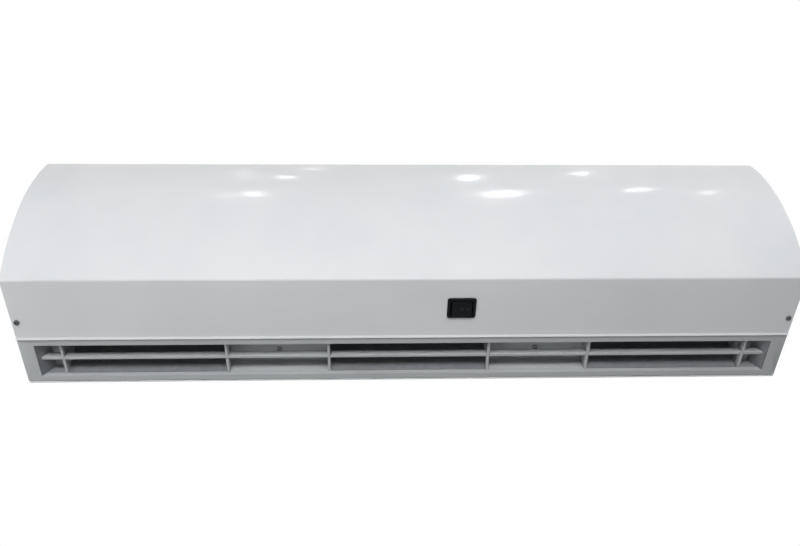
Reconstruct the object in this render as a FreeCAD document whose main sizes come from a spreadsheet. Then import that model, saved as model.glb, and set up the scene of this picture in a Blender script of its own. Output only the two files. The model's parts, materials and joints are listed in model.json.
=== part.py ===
import math
import os
import re

import FreeCAD
import Part
import Sketcher

# Air curtain for a wall over a doorway. Millimetres and degrees.
# X runs along the casing, the front faces -Y, Z is up, and the origin is the
# centre of the back plate's rear face, where the wall is.

# Driving sizes
SIZES = {
    # Casing section: flat top, arched front, crease, sloping underside
    "body_length": 900,
    "body_height": 238,
    "top_depth": 136.6,
    "crease_depth": 140.1,
    "crease_height": 37,
    "cover_bulge": 20,
    "cover_sheet": 1,
    "cover_top_flange": 14,
    "band_run": 77.5,
    "lip_reach": 2.1,
    "back_sheet": 1.5,
    "end_sheet": 1.2,
    "end_flange": 12,
    "seam": 0.2,
    "overrun": 2,
    # Intake panel in the top
    "top_sheet": 1,
    "top_rear_flange": 14,
    "top_overlap": 10,
    "slot_length": 88,
    "slot_width": 5,
    "slot_pitch": 10,
    "slot_margin": 24,
    "slot_setback": 16,
    # Wall fixing holes and cable entry
    "wall_hole_diameter": 7,
    "wall_hole_inset": 22,
    "wall_hole_span": 160,
    "entry_setback": 34,
    "entry_drop": 42,
    "entry_hole_diameter": 13,
    "entry_flange_diameter": 18,
    "entry_flange": 2,
    "entry_bore_diameter": 8,
    # Outlet frame and bar
    "frame_sheet": 1,
    "border_front": 9.9,
    "opening_run": 45,
    "end_border": 17,
    "rim_height": 6,
    "bar_thickness": 3.5,
    "bar_height": 9,
    "bar_recess": 5,
    "bar_end_gap": 2.5,
    "lap_gap": 0.1,
    # Bays along the casing
    "end_room": 45,
    "motor_bay": 120,
    "partition_sheet": 2,
    "partition_radius": 58,
    "partition_lean": 30,
    "partition_chin": 14,
    "partition_flange": 12,
    "bay_recess": 26,
    "bay_sheet": 1,
    "bay_screw_shift": 4,
    "bracket_width": 30,
    "bracket_reach": 12,
    "bracket_sheet": 2,
    "pan_recess": 20,
    # Air guides
    "guide_gap": 5,
    "guide_sheet": 1,
    "guide_wrap": 60,
    "tongue_gap": 7,
    "tongue_angle": 75,
    "tongue_sheet": 1,
    # Fan line
    "axis_depth": 70,
    "axis_rise": 111,
    "wheel_diameter": 100,
    "wheel_end_gap": 4,
    "wheel_plate": 2,
    "blade_depth": 10,
    "blade_sheet": 1,
    "blade_bend": 9,
    "blade_lead": 8,
    "hub_diameter": 24,
    "hub_length": 14,
    "shaft_diameter": 8,
    "shaft_short": 2,
    "running_fit": 0.05,
    "grub_diameter": 4,
    "grub_inset": 0.5,
    # Outer bearings
    "carrier_flange_diameter": 40,
    "carrier_flange": 2,
    "carrier_boss_diameter": 22,
    "carrier_boss": 10,
    "bush_diameter": 16,
    "bush_proud": 1,
    # Motors
    "shell_diameter": 86,
    "shell_wall": 1,
    "motor_end_room": 29,
    "bell_rim": 10,
    "bell_depth": 18,
    "bell_shoulder_diameter": 60,
    "bell_wall": 4,
    "motor_boss_diameter": 28,
    "motor_boss_proud": 1.5,
    "ring_wall": 6,
    "ring_lip": 2,
    "stator_length": 40,
    "stator_bore_diameter": 45,
    "core_gap": 0.5,
    # Electrical pieces
    "capacitor_length": 50,
    "capacitor_height": 32,
    "capacitor_depth": 20,
    "capacitor_corner": 3,
    "capacitor_drop": 30,
    "terminal_width": 24,
    "terminal_height": 40,
    "terminal_depth": 16,
    "terminal_step": 6,
    "terminal_clear": 2,
    # Rocker switch in the band
    "switch_side": 58,
    "switch_run": 38.9,
    "bezel_length": 33,
    "bezel_width": 27,
    "bezel_proud": 2,
    "bezel_corner": 3,
    "switch_length": 28,
    "switch_width": 21.5,
    "switch_depth": 22,
    "well_length": 25.6,
    "well_width": 19.6,
    "well_depth": 9,
    "blade_tab_width": 6.3,
    "blade_tab_sheet": 0.8,
    "blade_tab_length": 8,
    "blade_tab_pitch": 9,
    "rocker_length": 22.8,
    "rocker_width": 19,
    "rocker_ear": 4.2,
    "rocker_dip": 2.6,
    "rocker_waist": 0.5,
    "rocker_heel": 7,
    "rocker_heel_length": 8,
    "pivot_height": 3,
    "pivot_diameter": 2.4,
    "pivot_length": 21,
    # Screws
    "screw_diameter": 3,
    "screw_head_diameter": 6.5,
    "screw_head": 1.8,
    "screw_length": 7,
    "screw_fit": 0.1,
    "cover_screw_inset": 6,
    "cover_screw_run": 56.2,
    "top_screw_inset": 7,
    "top_screw_end": 120,
}

BLADE_COUNT = 32
SLOT_END = "slot_width * 0.6"
SIDES = (-1, 1)
SIDE_NAMES = {-1: "left", 1: "right"}
THREE_IN_A_ROW = (-1, 0, 1)
# Bay walls from left to right: the place each stands at and its side of the middle
PARTITIONS = (("end_wall", -1), ("outer_wall", -1), ("inner_wall", -1),
              ("inner_wall", 1), ("outer_wall", 1), ("end_wall", 1))
WHEEL_MIDDLES = ("-outer_wheel_middle", "0", "outer_wheel_middle")
MOTOR_MIDDLES = ("-motor_middle", "motor_middle")

# Places worked out from the sizes, each from the ones before it
PLACES = {
    "half_length": "body_length / 2",
    "half_height": "body_height / 2",
    "crease_up": "crease_height - half_height",
    "slope_run": "hypot(crease_depth; crease_height)",
    "slope_cos": "crease_depth / slope_run",
    "slope_sin": "crease_height / slope_run",
    "slope_angle": "atan(crease_height / crease_depth)",
    "chord_lean": "crease_depth - top_depth",
    "chord_drop": "body_height - crease_height",
    "chord": "hypot(chord_lean; chord_drop)",
    "arc_radius": "(chord ^ 2 / 4 + cover_bulge ^ 2) / (2 * cover_bulge)",
    "arc_rise": "(arc_radius - cover_bulge) / chord",
    "arc_y": "arc_rise * chord_drop - (top_depth + crease_depth) / 2",
    "arc_z": "(half_height + crease_up) / 2 - arc_rise * chord_lean",
    "arc_s": "(arc_y + crease_depth) * slope_cos - (arc_z - crease_up) * slope_sin",
    "arc_n": "(arc_y + crease_depth) * slope_sin + (arc_z - crease_up) * slope_cos",
    "back_front": "-(back_sheet + seam)",
    "panel_over": "half_height - cover_sheet - seam",
    "panel_under": "panel_over - top_sheet - seam",
    "top_screw_span": "half_length - top_screw_end",
    "entry_z": "half_height - entry_drop",
    "skin": "max(cover_sheet; frame_sheet) + seam",
    "frame_start": "band_run + lip_reach + seam",
    "opening_start": "frame_start + border_front",
    "opening_end": "opening_start + opening_run",
    "bar_middle": "opening_start + opening_run / 2",
    "bay_screw_run": "bar_middle + bay_screw_shift",
    "frame_end": "slope_run + back_front / slope_cos",
    "rim_top": "rim_height + seam",
    "bay_half": "motor_bay / 2",
    "wheel_bay": "(body_length - 2 * (end_room + motor_bay)) / 3",
    "inner_wall": "wheel_bay / 2",
    "outer_wall": "wheel_bay / 2 + motor_bay",
    "end_wall": "wheel_bay * 3 / 2 + motor_bay",
    "pan_near": "end_wall + partition_sheet / 2 + seam",
    "pan_far": "half_length - end_border + seam + bay_sheet",
    "motor_middle": "(inner_wall + outer_wall) / 2",
    "outer_wheel_middle": "(outer_wall + end_wall) / 2",
    "axis_y": "-axis_depth",
    "axis_z": "axis_rise - half_height",
    "wheel_radius": "wheel_diameter / 2",
    "wheel_length": "wheel_bay - partition_sheet - 2 * wheel_end_gap",
    "shaft_radius": "shaft_diameter / 2",
    "bore_radius": "shaft_radius + running_fit",
    "hub_radius": "hub_diameter / 2",
    "hub_grip": "wheel_plate + hub_length - shaft_short",
    "shaft_length": "motor_bay + partition_sheet + 2 * (wheel_end_gap + hub_grip)",
    "guide_radius": "wheel_radius + guide_gap",
    "motor_boss_radius": "motor_boss_diameter / 2",
    "ring_radius": "motor_boss_radius + running_fit + ring_wall",
    "shell_length": "motor_bay - 2 * motor_end_room",
    "boss_reach": "motor_end_room + partition_sheet / 2 + motor_boss_proud",
    "shell_radius": "shell_diameter / 2",
    "stub_length": "hub_grip + wheel_end_gap + partition_sheet + seam"
                   " + carrier_flange + carrier_boss + 2 * bush_proud",
}


def formula(text):
    """Name the sheet of every size and place in an expression."""
    return re.sub(r"[a-z_]+", lambda word: SHEET_OF.get(word.group(), "") + word.group(), text)


def value(text):
    """Work an expression out as a plain number."""
    result = sizes_sheet.evalExpression(formula(text))
    return float(getattr(result, "Value", result))


def fill_sheet(name, cells):
    """Write named cells into a sheet of the document, one per row."""
    sheet = doc.addObject("Spreadsheet::Sheet", name)
    for row, (alias, text) in enumerate(cells, start=1):
        sheet.set("A%d" % row, alias)
        sheet.set("B%d" % row, text)
        sheet.setAlias("B%d" % row, alias)
    doc.recompute()
    return sheet


# Outline points on the sloping underside: s runs down it from the crease, n inward from it
def slope_point(run, inward):
    return ("(({0}) * slope_cos + ({1}) * slope_sin - crease_depth)".format(run, inward),
            "(crease_up - ({0}) * slope_sin + ({1}) * slope_cos)".format(run, inward))


# Depth of the front arch, drawn inward by inset, at a height
def arch_y(height, inset):
    return "(arc_y - sqrt((arc_radius - ({1})) ^ 2 - (({0}) - arc_z) ^ 2))".format(height, inset)


# Run at which the arch, drawn inward by inset, meets the plane that lies inward of the underside
def arch_run(inward, inset):
    return "(arc_s - sqrt((arc_radius - ({1})) ^ 2 - (({0}) - arc_n) ^ 2))".format(inward, inset)


def new_body(label):
    """Start a sub-part under its own name."""
    body = doc.addObject("PartDesign::Body", label)
    body.Label = label
    pieces.append(body)
    return body


def place(body, x="0", y="0", z="0", sloped=False):
    """Put a sub-part at a point, turned into the underside's slope if it is sloped."""
    if sloped:
        start = FreeCAD.Rotation(FreeCAD.Vector(1, 0, 0), -value("slope_angle"))
        body.Placement = FreeCAD.Placement(FreeCAD.Vector(), start)
        body.setExpression("Placement.Rotation.Angle", formula("-slope_angle"))
    for letter, text in zip("xyz", (x, y, z)):
        body.setExpression("Placement.Base." + letter, formula(text))


def place_on_slope(body, x="0", run="0", inward="0"):
    """Put a sub-part on the underside's slope, with its own Y down the slope and its Z inward."""
    across, up = slope_point(run, inward)
    place(body, x, across, up, sloped=True)


def origin_item(body, role):
    """Find one of the sub-part's own planes or axes."""
    return next(item for item in body.Origin.OriginFeatures if item.Role == role)


def new_sketch(body, name, plane, offset="0"):
    """Attach a sketch to one of the sub-part's own planes, moved out along its normal by offset."""
    sketch = body.newObject("Sketcher::SketchObject", body.Name + "_" + name)
    sketch.AttachmentSupport = (origin_item(body, plane), [""])
    sketch.MapMode = "FlatFace"
    sketch.setExpression("AttachmentOffset.Base.z", formula(offset))
    return sketch


def new_slope_sketch(body, name):
    """Attach a sketch to the underside's plane, with its origin at the middle of the crease."""
    sketch = new_sketch(body, name, "XY_Plane")
    turn = FreeCAD.Rotation(FreeCAD.Vector(1, 0, 0), -value("slope_angle"))
    sketch.AttachmentOffset = FreeCAD.Placement(FreeCAD.Vector(), turn)
    sketch.setExpression("AttachmentOffset.Rotation.Angle", formula("-slope_angle"))
    sketch.setExpression("AttachmentOffset.Base.y", formula("-crease_depth"))
    sketch.setExpression("AttachmentOffset.Base.z", formula("crease_up"))
    return sketch


def pin(sketch, edge, end, across, up):
    """Hold one point of a sketch at a place given by two expressions."""
    for kind, text in (("DistanceX", across), ("DistanceY", up)):
        index = sketch.addConstraint(Sketcher.Constraint(kind, -1, 1, edge, end, value(text)))
        sketch.setExpression("Constraints[%d]" % index, formula(text))


def hold_radius(sketch, edge, radius):
    index = sketch.addConstraint(Sketcher.Constraint("Radius", edge, value(radius)))
    sketch.setExpression("Constraints[%d]" % index, formula(radius))


def bent_edge(start, end, radius, side):
    """Arc from start to end that bows to the left of the way (side 1) or to the right (side -1)."""
    way = end - start
    left = FreeCAD.Vector(-way.y, way.x, 0).normalize()
    bow = radius - math.sqrt(radius ** 2 - (way.Length / 2) ** 2)
    return Part.Arc(start, (start + end) / 2 + left * (bow * side), end)


def outline(sketch, corners):
    """Draw a closed loop of corners (across, up), or (across, up, radius, side) before a bent edge."""
    points = [FreeCAD.Vector(value(corner[0]), value(corner[1]), 0) for corner in corners]
    ends = []
    for number, corner in enumerate(corners):
        start = points[number]
        end = points[(number + 1) % len(points)]
        if len(corner) == 2:
            edge = sketch.addGeometry(Part.LineSegment(start, end), False)
        else:
            edge = sketch.addGeometry(bent_edge(start, end, value(corner[2]), corner[3]), False)
            hold_radius(sketch, edge, corner[2])
        ahead = sketch.getPoint(edge, 1).distanceToPoint(start)
        behind = sketch.getPoint(edge, 2).distanceToPoint(start)
        ends.append((edge, 1, 2) if ahead < behind else (edge, 2, 1))
    for number, corner in enumerate(corners):
        edge, first, last = ends[number]
        before = ends[number - 1]
        sketch.addConstraint(Sketcher.Constraint("Coincident", before[0], before[2], edge, first))
        pin(sketch, edge, first, corner[0], corner[1])


def rectangle(sketch, left, right, low, high):
    outline(sketch, [(left, low), (right, low), (right, high), (left, high)])


def centred_rectangle(sketch, length, width, across="0", up="0"):
    rectangle(sketch, "{0} - ({1}) / 2".format(across, length), "{0} + ({1}) / 2".format(across, length),
              "{0} - ({1}) / 2".format(up, width), "{0} + ({1}) / 2".format(up, width))


def circle(sketch, across, up, radius):
    centre = FreeCAD.Vector(value(across), value(up), 0)
    edge = sketch.addGeometry(Part.Circle(centre, FreeCAD.Vector(0, 0, 1), value(radius)), False)
    hold_radius(sketch, edge, radius)
    pin(sketch, edge, 3, across, up)


def feature(body, kind, sketch, length, centred=False, backwards=False):
    """Pad or pocket a sketch by a length, to both sides if it is centred."""
    made = body.newObject("PartDesign::" + kind, sketch.Name + "_" + kind.lower())
    made.Profile = sketch
    made.SideType = "Symmetric" if centred else "One side"
    made.Reversed = backwards
    made.setExpression("Length", formula(length))
    return made


def pad(body, sketch, length, centred=False, backwards=False):
    return feature(body, "Pad", sketch, length, centred, backwards)


def pocket(body, sketch, length, centred=False, backwards=False):
    """Cut a sketch out of a sub-part. The last check makes sure that it takes something away."""
    return feature(body, "Pocket", sketch, length, centred, backwards)


def turned(body, sketch):
    """Turn a half section about the sketch's own X axis."""
    made = body.newObject("PartDesign::Revolution", sketch.Name + "_turned")
    made.Profile = sketch
    made.ReferenceAxis = (sketch, ["H_Axis"])
    made.Angle = 360
    return made


def on_axis(body, x):
    """Put a sub-part on the fan line."""
    place(body, x, "axis_y", "axis_z")


def tube(label, outer, bore, length, x):
    """Plain ring or rod on the fan line, centred at x."""
    body = new_body(label)
    section = new_sketch(body, "section", "YZ_Plane")
    circle(section, "0", "0", outer)
    if bore:
        circle(section, "0", "0", bore)
    pad(body, section, length, centred=True)
    on_axis(body, x)
    return body


# Flat plate against the wall with four wall holes
def make_back_plate():
    body = new_body("back_plate")
    sheet = new_sketch(body, "sheet", "XZ_Plane")
    centred_rectangle(sheet, "body_length", "body_height")
    pad(body, sheet, "back_sheet")
    holes = new_sketch(body, "wall_holes", "XZ_Plane")
    for side in SIDES:
        for level in SIDES:
            circle(holes, "{0} * (half_length - wall_hole_inset)".format(side),
                   "{0} * wall_hole_span / 2".format(level), "wall_hole_diameter / 2")
    pocket(body, holes, "2 * back_sheet + overrun", centred=True)


# Slotted intake panel that closes the top, with a flange down the back plate
def make_top_panel():
    body = new_body("top_panel")
    section = new_sketch(body, "section", "YZ_Plane")
    front = "cover_top_flange - top_depth - top_overlap"
    rectangle(section, front, "back_front", "panel_over - top_sheet", "panel_over")
    pad(body, section, "body_length", centred=True)
    flange = new_sketch(body, "flange", "YZ_Plane")
    rectangle(flange, "back_front - top_sheet", "back_front", "panel_over - top_rear_flange", "panel_over")
    pad(body, flange, "body_length - 2 * (end_flange + seam)", centred=True)
    slot = new_sketch(body, "slot", "XY_Plane", "panel_over")
    left = "slot_margin - half_length"
    right = left + " + slot_width"
    rear = "back_front - slot_setback"
    ahead = rear + " - slot_length"
    outline(slot, [
        (left, ahead, SLOT_END, -1),
        (right, ahead),
        (right, rear, SLOT_END, -1),
        (left, rear),
    ])
    cut = pocket(body, slot, "top_sheet + overrun", centred=True)
    row = body.newObject("PartDesign::LinearPattern", "top_panel_slots")
    row.Originals = [cut]
    row.Direction = (origin_item(body, "X_Axis"), [""])
    row.Mode = "Spacing"
    row.setExpression("Offset", formula("slot_pitch"))
    count = "floor((body_length - 2 * slot_margin - slot_width) / slot_pitch) + 1"
    row.setExpression("Occurrences", formula(count))
    body.Tip = row
    holes = new_sketch(body, "screw_holes", "XY_Plane", "panel_over")
    for step in THREE_IN_A_ROW:
        circle(holes, "{0} * top_screw_span".format(step), "top_screw_inset - top_depth",
               "screw_diameter / 2 + screw_fit")
    pocket(body, holes, "top_sheet + overrun", centred=True)


# One bent sheet: top flange, arched front, crease, switch band and turned lip
def make_front_cover():
    body = new_body("front_cover")
    section = new_sketch(body, "section", "YZ_Plane")
    under = "half_height - cover_sheet"
    lip_run = "band_run + lip_reach"
    lip_inner = "cover_sheet * (sqrt(2) - 1)"
    inner_run = arch_run("cover_sheet", "cover_sheet")
    outline(section, [
        ("cover_top_flange - top_depth", "half_height"),
        ("-top_depth", "half_height", "arc_radius", -1),
        slope_point("0", "0"),
        slope_point("band_run", "0"),
        slope_point(lip_run, "-lip_reach"),
        slope_point(lip_run + " + cover_sheet / sqrt(2)", "cover_sheet / sqrt(2) - lip_reach"),
        slope_point("band_run + " + lip_inner, "cover_sheet"),
        slope_point(inner_run, "cover_sheet") + ("arc_radius - cover_sheet", 1),
        (arch_y(under, "cover_sheet"), under),
        ("cover_top_flange - top_depth", under),
    ])
    pad(body, section, "body_length", centred=True)
    window = new_slope_sketch(body, "switch_window")
    centred_rectangle(window, "switch_length + 2 * seam", "switch_width + 2 * seam",
                      "switch_side", "switch_run")
    for side in SIDES:
        circle(window, "{0} * (half_length - cover_screw_inset)".format(side), "cover_screw_run",
               "screw_diameter / 2 + screw_fit")
    pocket(body, window, "2 * cover_sheet + overrun", centred=True)
    holes = new_sketch(body, "top_holes", "XY_Plane", "half_height")
    for step in THREE_IN_A_ROW:
        circle(holes, "{0} * top_screw_span".format(step), "top_screw_inset - top_depth",
               "screw_diameter / 2 + screw_fit")
    pocket(body, holes, "2 * cover_sheet + overrun", centred=True)


# Corners of the casing section, drawn inward from the skins by inset
def casing_corners(inset):
    low = "skin + " + inset
    top = "panel_under - ({0})".format(inset)
    rear = "back_front - ({0})".format(inset)
    rear_run = "({0} + crease_depth - ({1}) * slope_sin) / slope_cos".format(rear, low)
    return [
        slope_point(rear_run, low),
        slope_point(arch_run(low, "cover_sheet + seam + " + inset), low)
        + ("arc_radius - cover_sheet - seam - ({0})".format(inset), 1),
        (arch_y(top, "cover_sheet + seam + " + inset), top),
        (rear, top),
    ]


# Pan that closes one end of the casing, flanged all round
def make_end_plate(side):
    body = new_body("end_plate_" + SIDE_NAMES[side])
    leftward = side < 0
    rim = new_sketch(body, "rim", "YZ_Plane")
    outline(rim, casing_corners("0"))
    pad(body, rim, "end_flange", backwards=not leftward)
    hollow = new_sketch(body, "hollow", "YZ_Plane", "end_flange" if leftward else "-end_flange")
    outline(hollow, casing_corners("end_sheet"))
    pocket(body, hollow, "end_flange - end_sheet", backwards=not leftward)
    hole = new_slope_sketch(body, "screw_hole")
    circle(hole, "{0} * -cover_screw_inset".format(side), "cover_screw_run",
           "screw_diameter / 2 + screw_fit")
    pocket(body, hole, "2 * (skin + end_sheet) + overrun", centred=True)
    if not leftward:
        entry = new_sketch(body, "cable_entry", "YZ_Plane")
        circle(entry, "-entry_setback", "entry_z", "entry_hole_diameter / 2 + seam")
        pocket(body, entry, "2 * end_sheet + overrun", centred=True)
    place(body, "{0} * half_length".format(side))


# Rubber grommet where the mains cable comes in
def make_cable_grommet():
    body = new_body("cable_grommet")
    outer = new_sketch(body, "outer", "YZ_Plane")
    circle(outer, "0", "0", "entry_flange_diameter / 2")
    circle(outer, "0", "0", "entry_bore_diameter / 2")
    pad(body, outer, "entry_flange")
    neck = new_sketch(body, "neck", "YZ_Plane")
    circle(neck, "0", "0", "entry_hole_diameter / 2")
    circle(neck, "0", "0", "entry_bore_diameter / 2")
    pad(body, neck, "end_sheet + 2 * seam", backwards=True)
    inner = new_sketch(body, "inner", "YZ_Plane", "-(end_sheet + 2 * seam)")
    circle(inner, "0", "0", "entry_flange_diameter / 2")
    circle(inner, "0", "0", "entry_bore_diameter / 2")
    pad(body, inner, "entry_flange", backwards=True)
    place(body, "half_length + seam", "-entry_setback", "entry_z")


# Flat frame round the outlet with upturned rims
def make_outlet_frame():
    body = new_body("outlet_frame")
    sheet = new_sketch(body, "sheet", "XY_Plane")
    rectangle(sheet, "-half_length", "half_length", "frame_start", "frame_end - frame_sheet")
    rectangle(sheet, "end_border - half_length", "half_length - end_border", "opening_start", "opening_end")
    pad(body, sheet, "frame_sheet")
    rims = new_sketch(body, "rims", "XY_Plane")
    end = "half_length - end_flange - seam"
    rectangle(rims, "-({0})".format(end), end, "opening_start - frame_sheet", "opening_start")
    rectangle(rims, "-({0})".format(end), end, "opening_end", "opening_end + frame_sheet")
    pad(body, rims, "rim_height")
    place_on_slope(body)


# Bar along the middle of the outlet, slotted from above at each partition
def make_outlet_bar():
    body = new_body("outlet_bar")
    strip = new_sketch(body, "strip", "XY_Plane", "bar_recess")
    centred_rectangle(strip, "body_length - 2 * (end_border + bar_end_gap)", "bar_thickness", "0", "bar_middle")
    pad(body, strip, "bar_height")
    laps = new_sketch(body, "laps", "XY_Plane", "bar_recess + bar_height")
    for wall, side in PARTITIONS:
        centred_rectangle(laps, "partition_sheet + 2 * lap_gap", "bar_thickness + overrun",
                          "{0} * {1}".format(side, wall), "bar_middle")
    pocket(body, laps, "bar_height / 2")
    place_on_slope(body)


# Upright wall between two bays, with its foot in the outlet and a flange on the back plate
def make_partition(number, wall, side):
    body = new_body("bay_partition_%d" % number)
    top = "axis_z + partition_radius"
    rear = "back_front"
    shoulder = "rim_top + seam"
    toe_front = "opening_start + seam"
    toe_rear = "opening_end - seam"
    lap = "bar_thickness / 2 + lap_gap"
    lap_top = "bar_recess + bar_height / 2 + lap_gap"
    heel_run = "({0} + crease_depth - ({1}) * slope_sin) / slope_cos".format(rear, shoulder)
    sheet = new_sketch(body, "sheet", "YZ_Plane")
    outline(sheet, [
        (rear, top),
        ("axis_y", top, "partition_radius", -1),
        ("axis_y - partition_radius * cos(partition_lean)",
         "axis_z - partition_radius * sin(partition_lean)"),
        slope_point("opening_start - partition_chin", shoulder),
        slope_point(toe_front, shoulder),
        slope_point(toe_front, "bar_recess"),
        slope_point("bar_middle - ({0})".format(lap), "bar_recess"),
        slope_point("bar_middle - ({0})".format(lap), lap_top),
        slope_point("bar_middle + " + lap, lap_top),
        slope_point("bar_middle + " + lap, "bar_recess"),
        slope_point(toe_rear, "bar_recess"),
        slope_point(toe_rear, shoulder),
        slope_point(heel_run, shoulder),
    ])
    hole = "ring_radius + seam" if wall != "end_wall" else "carrier_boss_diameter / 2"
    circle(sheet, "axis_y", "axis_z", hole)
    pad(body, sheet, "partition_sheet", centred=True)
    flange = new_sketch(body, "flange", "YZ_Plane")
    rectangle(flange, rear + " - partition_sheet", rear, "axis_z", top)
    outward = side > 0 if wall != "outer_wall" else side < 0
    pad(body, flange, "partition_flange", backwards=not outward)
    place(body, "{0} * {1}".format(side, wall))


# Rear wall of one wheel bay's air duct, wrapped over the back of the wheel
def make_rear_guide(number, middle):
    body = new_body("rear_guide_%d" % number)
    section = new_sketch(body, "section", "YZ_Plane")
    foot_y, foot_z = slope_point("opening_end", "rim_top")
    outer = "guide_radius + guide_sheet"
    outline(section, [
        (foot_y, foot_z),
        (foot_y + " + guide_sheet", foot_z),
        ("axis_y + " + outer, "axis_z", outer, -1),
        ("axis_y + ({0}) * cos(guide_wrap)".format(outer),
         "axis_z + ({0}) * sin(guide_wrap)".format(outer)),
        ("axis_y + guide_radius * cos(guide_wrap)",
         "axis_z + guide_radius * sin(guide_wrap)", "guide_radius", 1),
        ("axis_y + guide_radius", "axis_z"),
    ])
    pad(body, section, "wheel_bay - partition_sheet - 2 * seam", centred=True)
    place(body, middle)


# Slanting plate at the front of one wheel bay's outlet that keeps blown air from the wheel
def make_tongue(number, middle):
    body = new_body("air_tongue_%d" % number)
    foot_y, foot_z = slope_point("opening_start - frame_sheet", "rim_top + tongue_sheet / 2")
    reach = "(wheel_radius + tongue_gap)"
    rise_y = "(axis_y - {0} * cos(tongue_angle) - {1})".format(reach, foot_y)
    rise_z = "(axis_z - {0} * sin(tongue_angle) - {1})".format(reach, foot_z)
    sheet = new_sketch(body, "sheet", "XY_Plane")
    centred_rectangle(sheet, "wheel_bay - partition_sheet - 2 * seam",
                      "hypot({0}; {1})".format(rise_y, rise_z), "0",
                      "hypot({0}; {1}) / 2".format(rise_y, rise_z))
    pad(body, sheet, "tongue_sheet", backwards=True)
    lean = "180 deg - atan({0} / -({1}))".format(rise_z, rise_y)
    start = FreeCAD.Rotation(FreeCAD.Vector(1, 0, 0), value(lean))
    body.Placement = FreeCAD.Placement(FreeCAD.Vector(), start)
    body.setExpression("Placement.Rotation.Angle", formula(lean))
    place(body, middle, foot_y, foot_z)


# Corners of a channel that stands on the outlet's rims and is closed at a depth
def channel_corners(depth):
    front = "opening_start - frame_sheet"
    rear = "opening_end + frame_sheet"
    return [
        (front, "rim_top"),
        (front + " + bay_sheet", "rim_top"),
        (front + " + bay_sheet", depth + " - bay_sheet"),
        (rear + " - bay_sheet", depth + " - bay_sheet"),
        (rear + " - bay_sheet", "rim_top"),
        (rear, "rim_top"),
        (rear, depth),
        (front, depth),
    ]


# Shallow pan that closes the outlet between the last bay wall and the casing's end
def make_end_pan(side):
    body = new_body("end_bay_pan_" + SIDE_NAMES[side])
    section = new_sketch(body, "section", "YZ_Plane")
    outline(section, channel_corners("pan_recess"))
    pad(body, section, "pan_far - pan_near", centred=True)
    wall = new_sketch(body, "wall", "YZ_Plane", "{0} * (pan_far - pan_near) / 2".format(side))
    rectangle(wall, "opening_start + seam", "opening_end - seam", "frame_sheet + seam", "pan_recess")
    pad(body, wall, "bay_sheet", backwards=side > 0)
    place_on_slope(body, "{0} * (pan_near + pan_far) / 2".format(side))


# Recessed plate that closes the outlet under a motor
def make_bay_cover(number, middle):
    body = new_body("bay_cover_%d" % number)
    section = new_sketch(body, "section", "YZ_Plane")
    outline(section, channel_corners("bay_recess"))
    pad(body, section, "motor_bay - partition_sheet - 2 * seam", centred=True)
    hole = new_sketch(body, "screw_hole", "XY_Plane", "bay_recess")
    circle(hole, "0", "bay_screw_run", "screw_diameter / 2 + screw_fit")
    pocket(body, hole, "2 * bay_sheet + overrun", centred=True)
    place_on_slope(body, middle)


# Shelf on the back plate that the plate under a motor is screwed to
def make_bay_bracket(number, middle):
    body = new_body("bay_bracket_%d" % number)
    low = "bay_recess + seam"
    high = low + " + bracket_sheet"
    shelf = new_sketch(body, "shelf", "XY_Plane", low)
    rear = "(back_front + crease_depth - ({0}) * slope_sin) / slope_cos".format(high)
    rectangle(shelf, "-bracket_width / 2", "bracket_width / 2", "bay_screw_run - bracket_reach", rear)
    circle(shelf, "0", "bay_screw_run", "screw_diameter / 2 + screw_fit")
    pad(body, shelf, "bracket_sheet")
    place_on_slope(body, middle)


# Cross-flow wheel: two end plates with hubs, joined by curved blades
def make_fan_wheel(number, middle):
    body = new_body("fan_wheel_%d" % number)
    blade = new_sketch(body, "blade", "YZ_Plane")
    inner = "(wheel_radius - blade_depth)"
    outer = "(wheel_radius - blade_sheet)"
    half = "blade_sheet / 2"
    tip_y = "{0} * cos(blade_lead)".format(outer)
    tip_z = "{0} * sin(blade_lead)".format(outer)
    outline(blade, [
        (inner, "-" + half, "blade_bend", -1),
        (tip_y, tip_z + " - " + half),
        (tip_y, tip_z + " + " + half, "blade_bend", 1),
        (inner, half),
    ])
    first = pad(body, blade, "wheel_length - wheel_plate", centred=True)
    ring = body.newObject("PartDesign::PolarPattern", body.Name + "_blades")
    ring.Originals = [first]
    ring.Axis = (origin_item(body, "X_Axis"), [""])
    ring.Angle = 360
    ring.Occurrences = BLADE_COUNT
    body.Tip = ring
    for side in SIDES:
        name = SIDE_NAMES[side]
        plate = new_sketch(body, "plate_" + name, "YZ_Plane", "{0} * wheel_length / 2".format(side))
        circle(plate, "0", "0", "wheel_radius")
        circle(plate, "0", "0", "bore_radius")
        pad(body, plate, "wheel_plate", backwards=side > 0)
        inside = "{0} * (wheel_length / 2 - wheel_plate)".format(side)
        hub = new_sketch(body, "hub_" + name, "YZ_Plane", inside)
        circle(hub, "0", "0", "hub_radius")
        circle(hub, "0", "0", "bore_radius")
        pad(body, hub, "hub_length", backwards=side > 0)
    grubs = new_sketch(body, "grub_holes", "XY_Plane")
    for side in SIDES:
        circle(grubs, "{0} * (wheel_length / 2 - wheel_plate - hub_length / 2)".format(side), "0",
               "grub_diameter / 2 + running_fit")
    pocket(body, grubs, "hub_radius + running_fit", backwards=True)
    on_axis(body, middle)


# Grub screws that lock the hubs to their shafts
def make_hub_screws():
    body = new_body("hub_grub_screws")
    grubs = new_sketch(body, "grubs", "XY_Plane", "bore_radius + running_fit")
    for middle in WHEEL_MIDDLES:
        for side in SIDES:
            along = "{0} + {1} * (wheel_length / 2 - wheel_plate - hub_length / 2)".format(middle, side)
            circle(grubs, along, "0", "grub_diameter / 2")
    pad(body, grubs, "hub_radius - bore_radius - running_fit - grub_inset")
    on_axis(body, "0")


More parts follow.
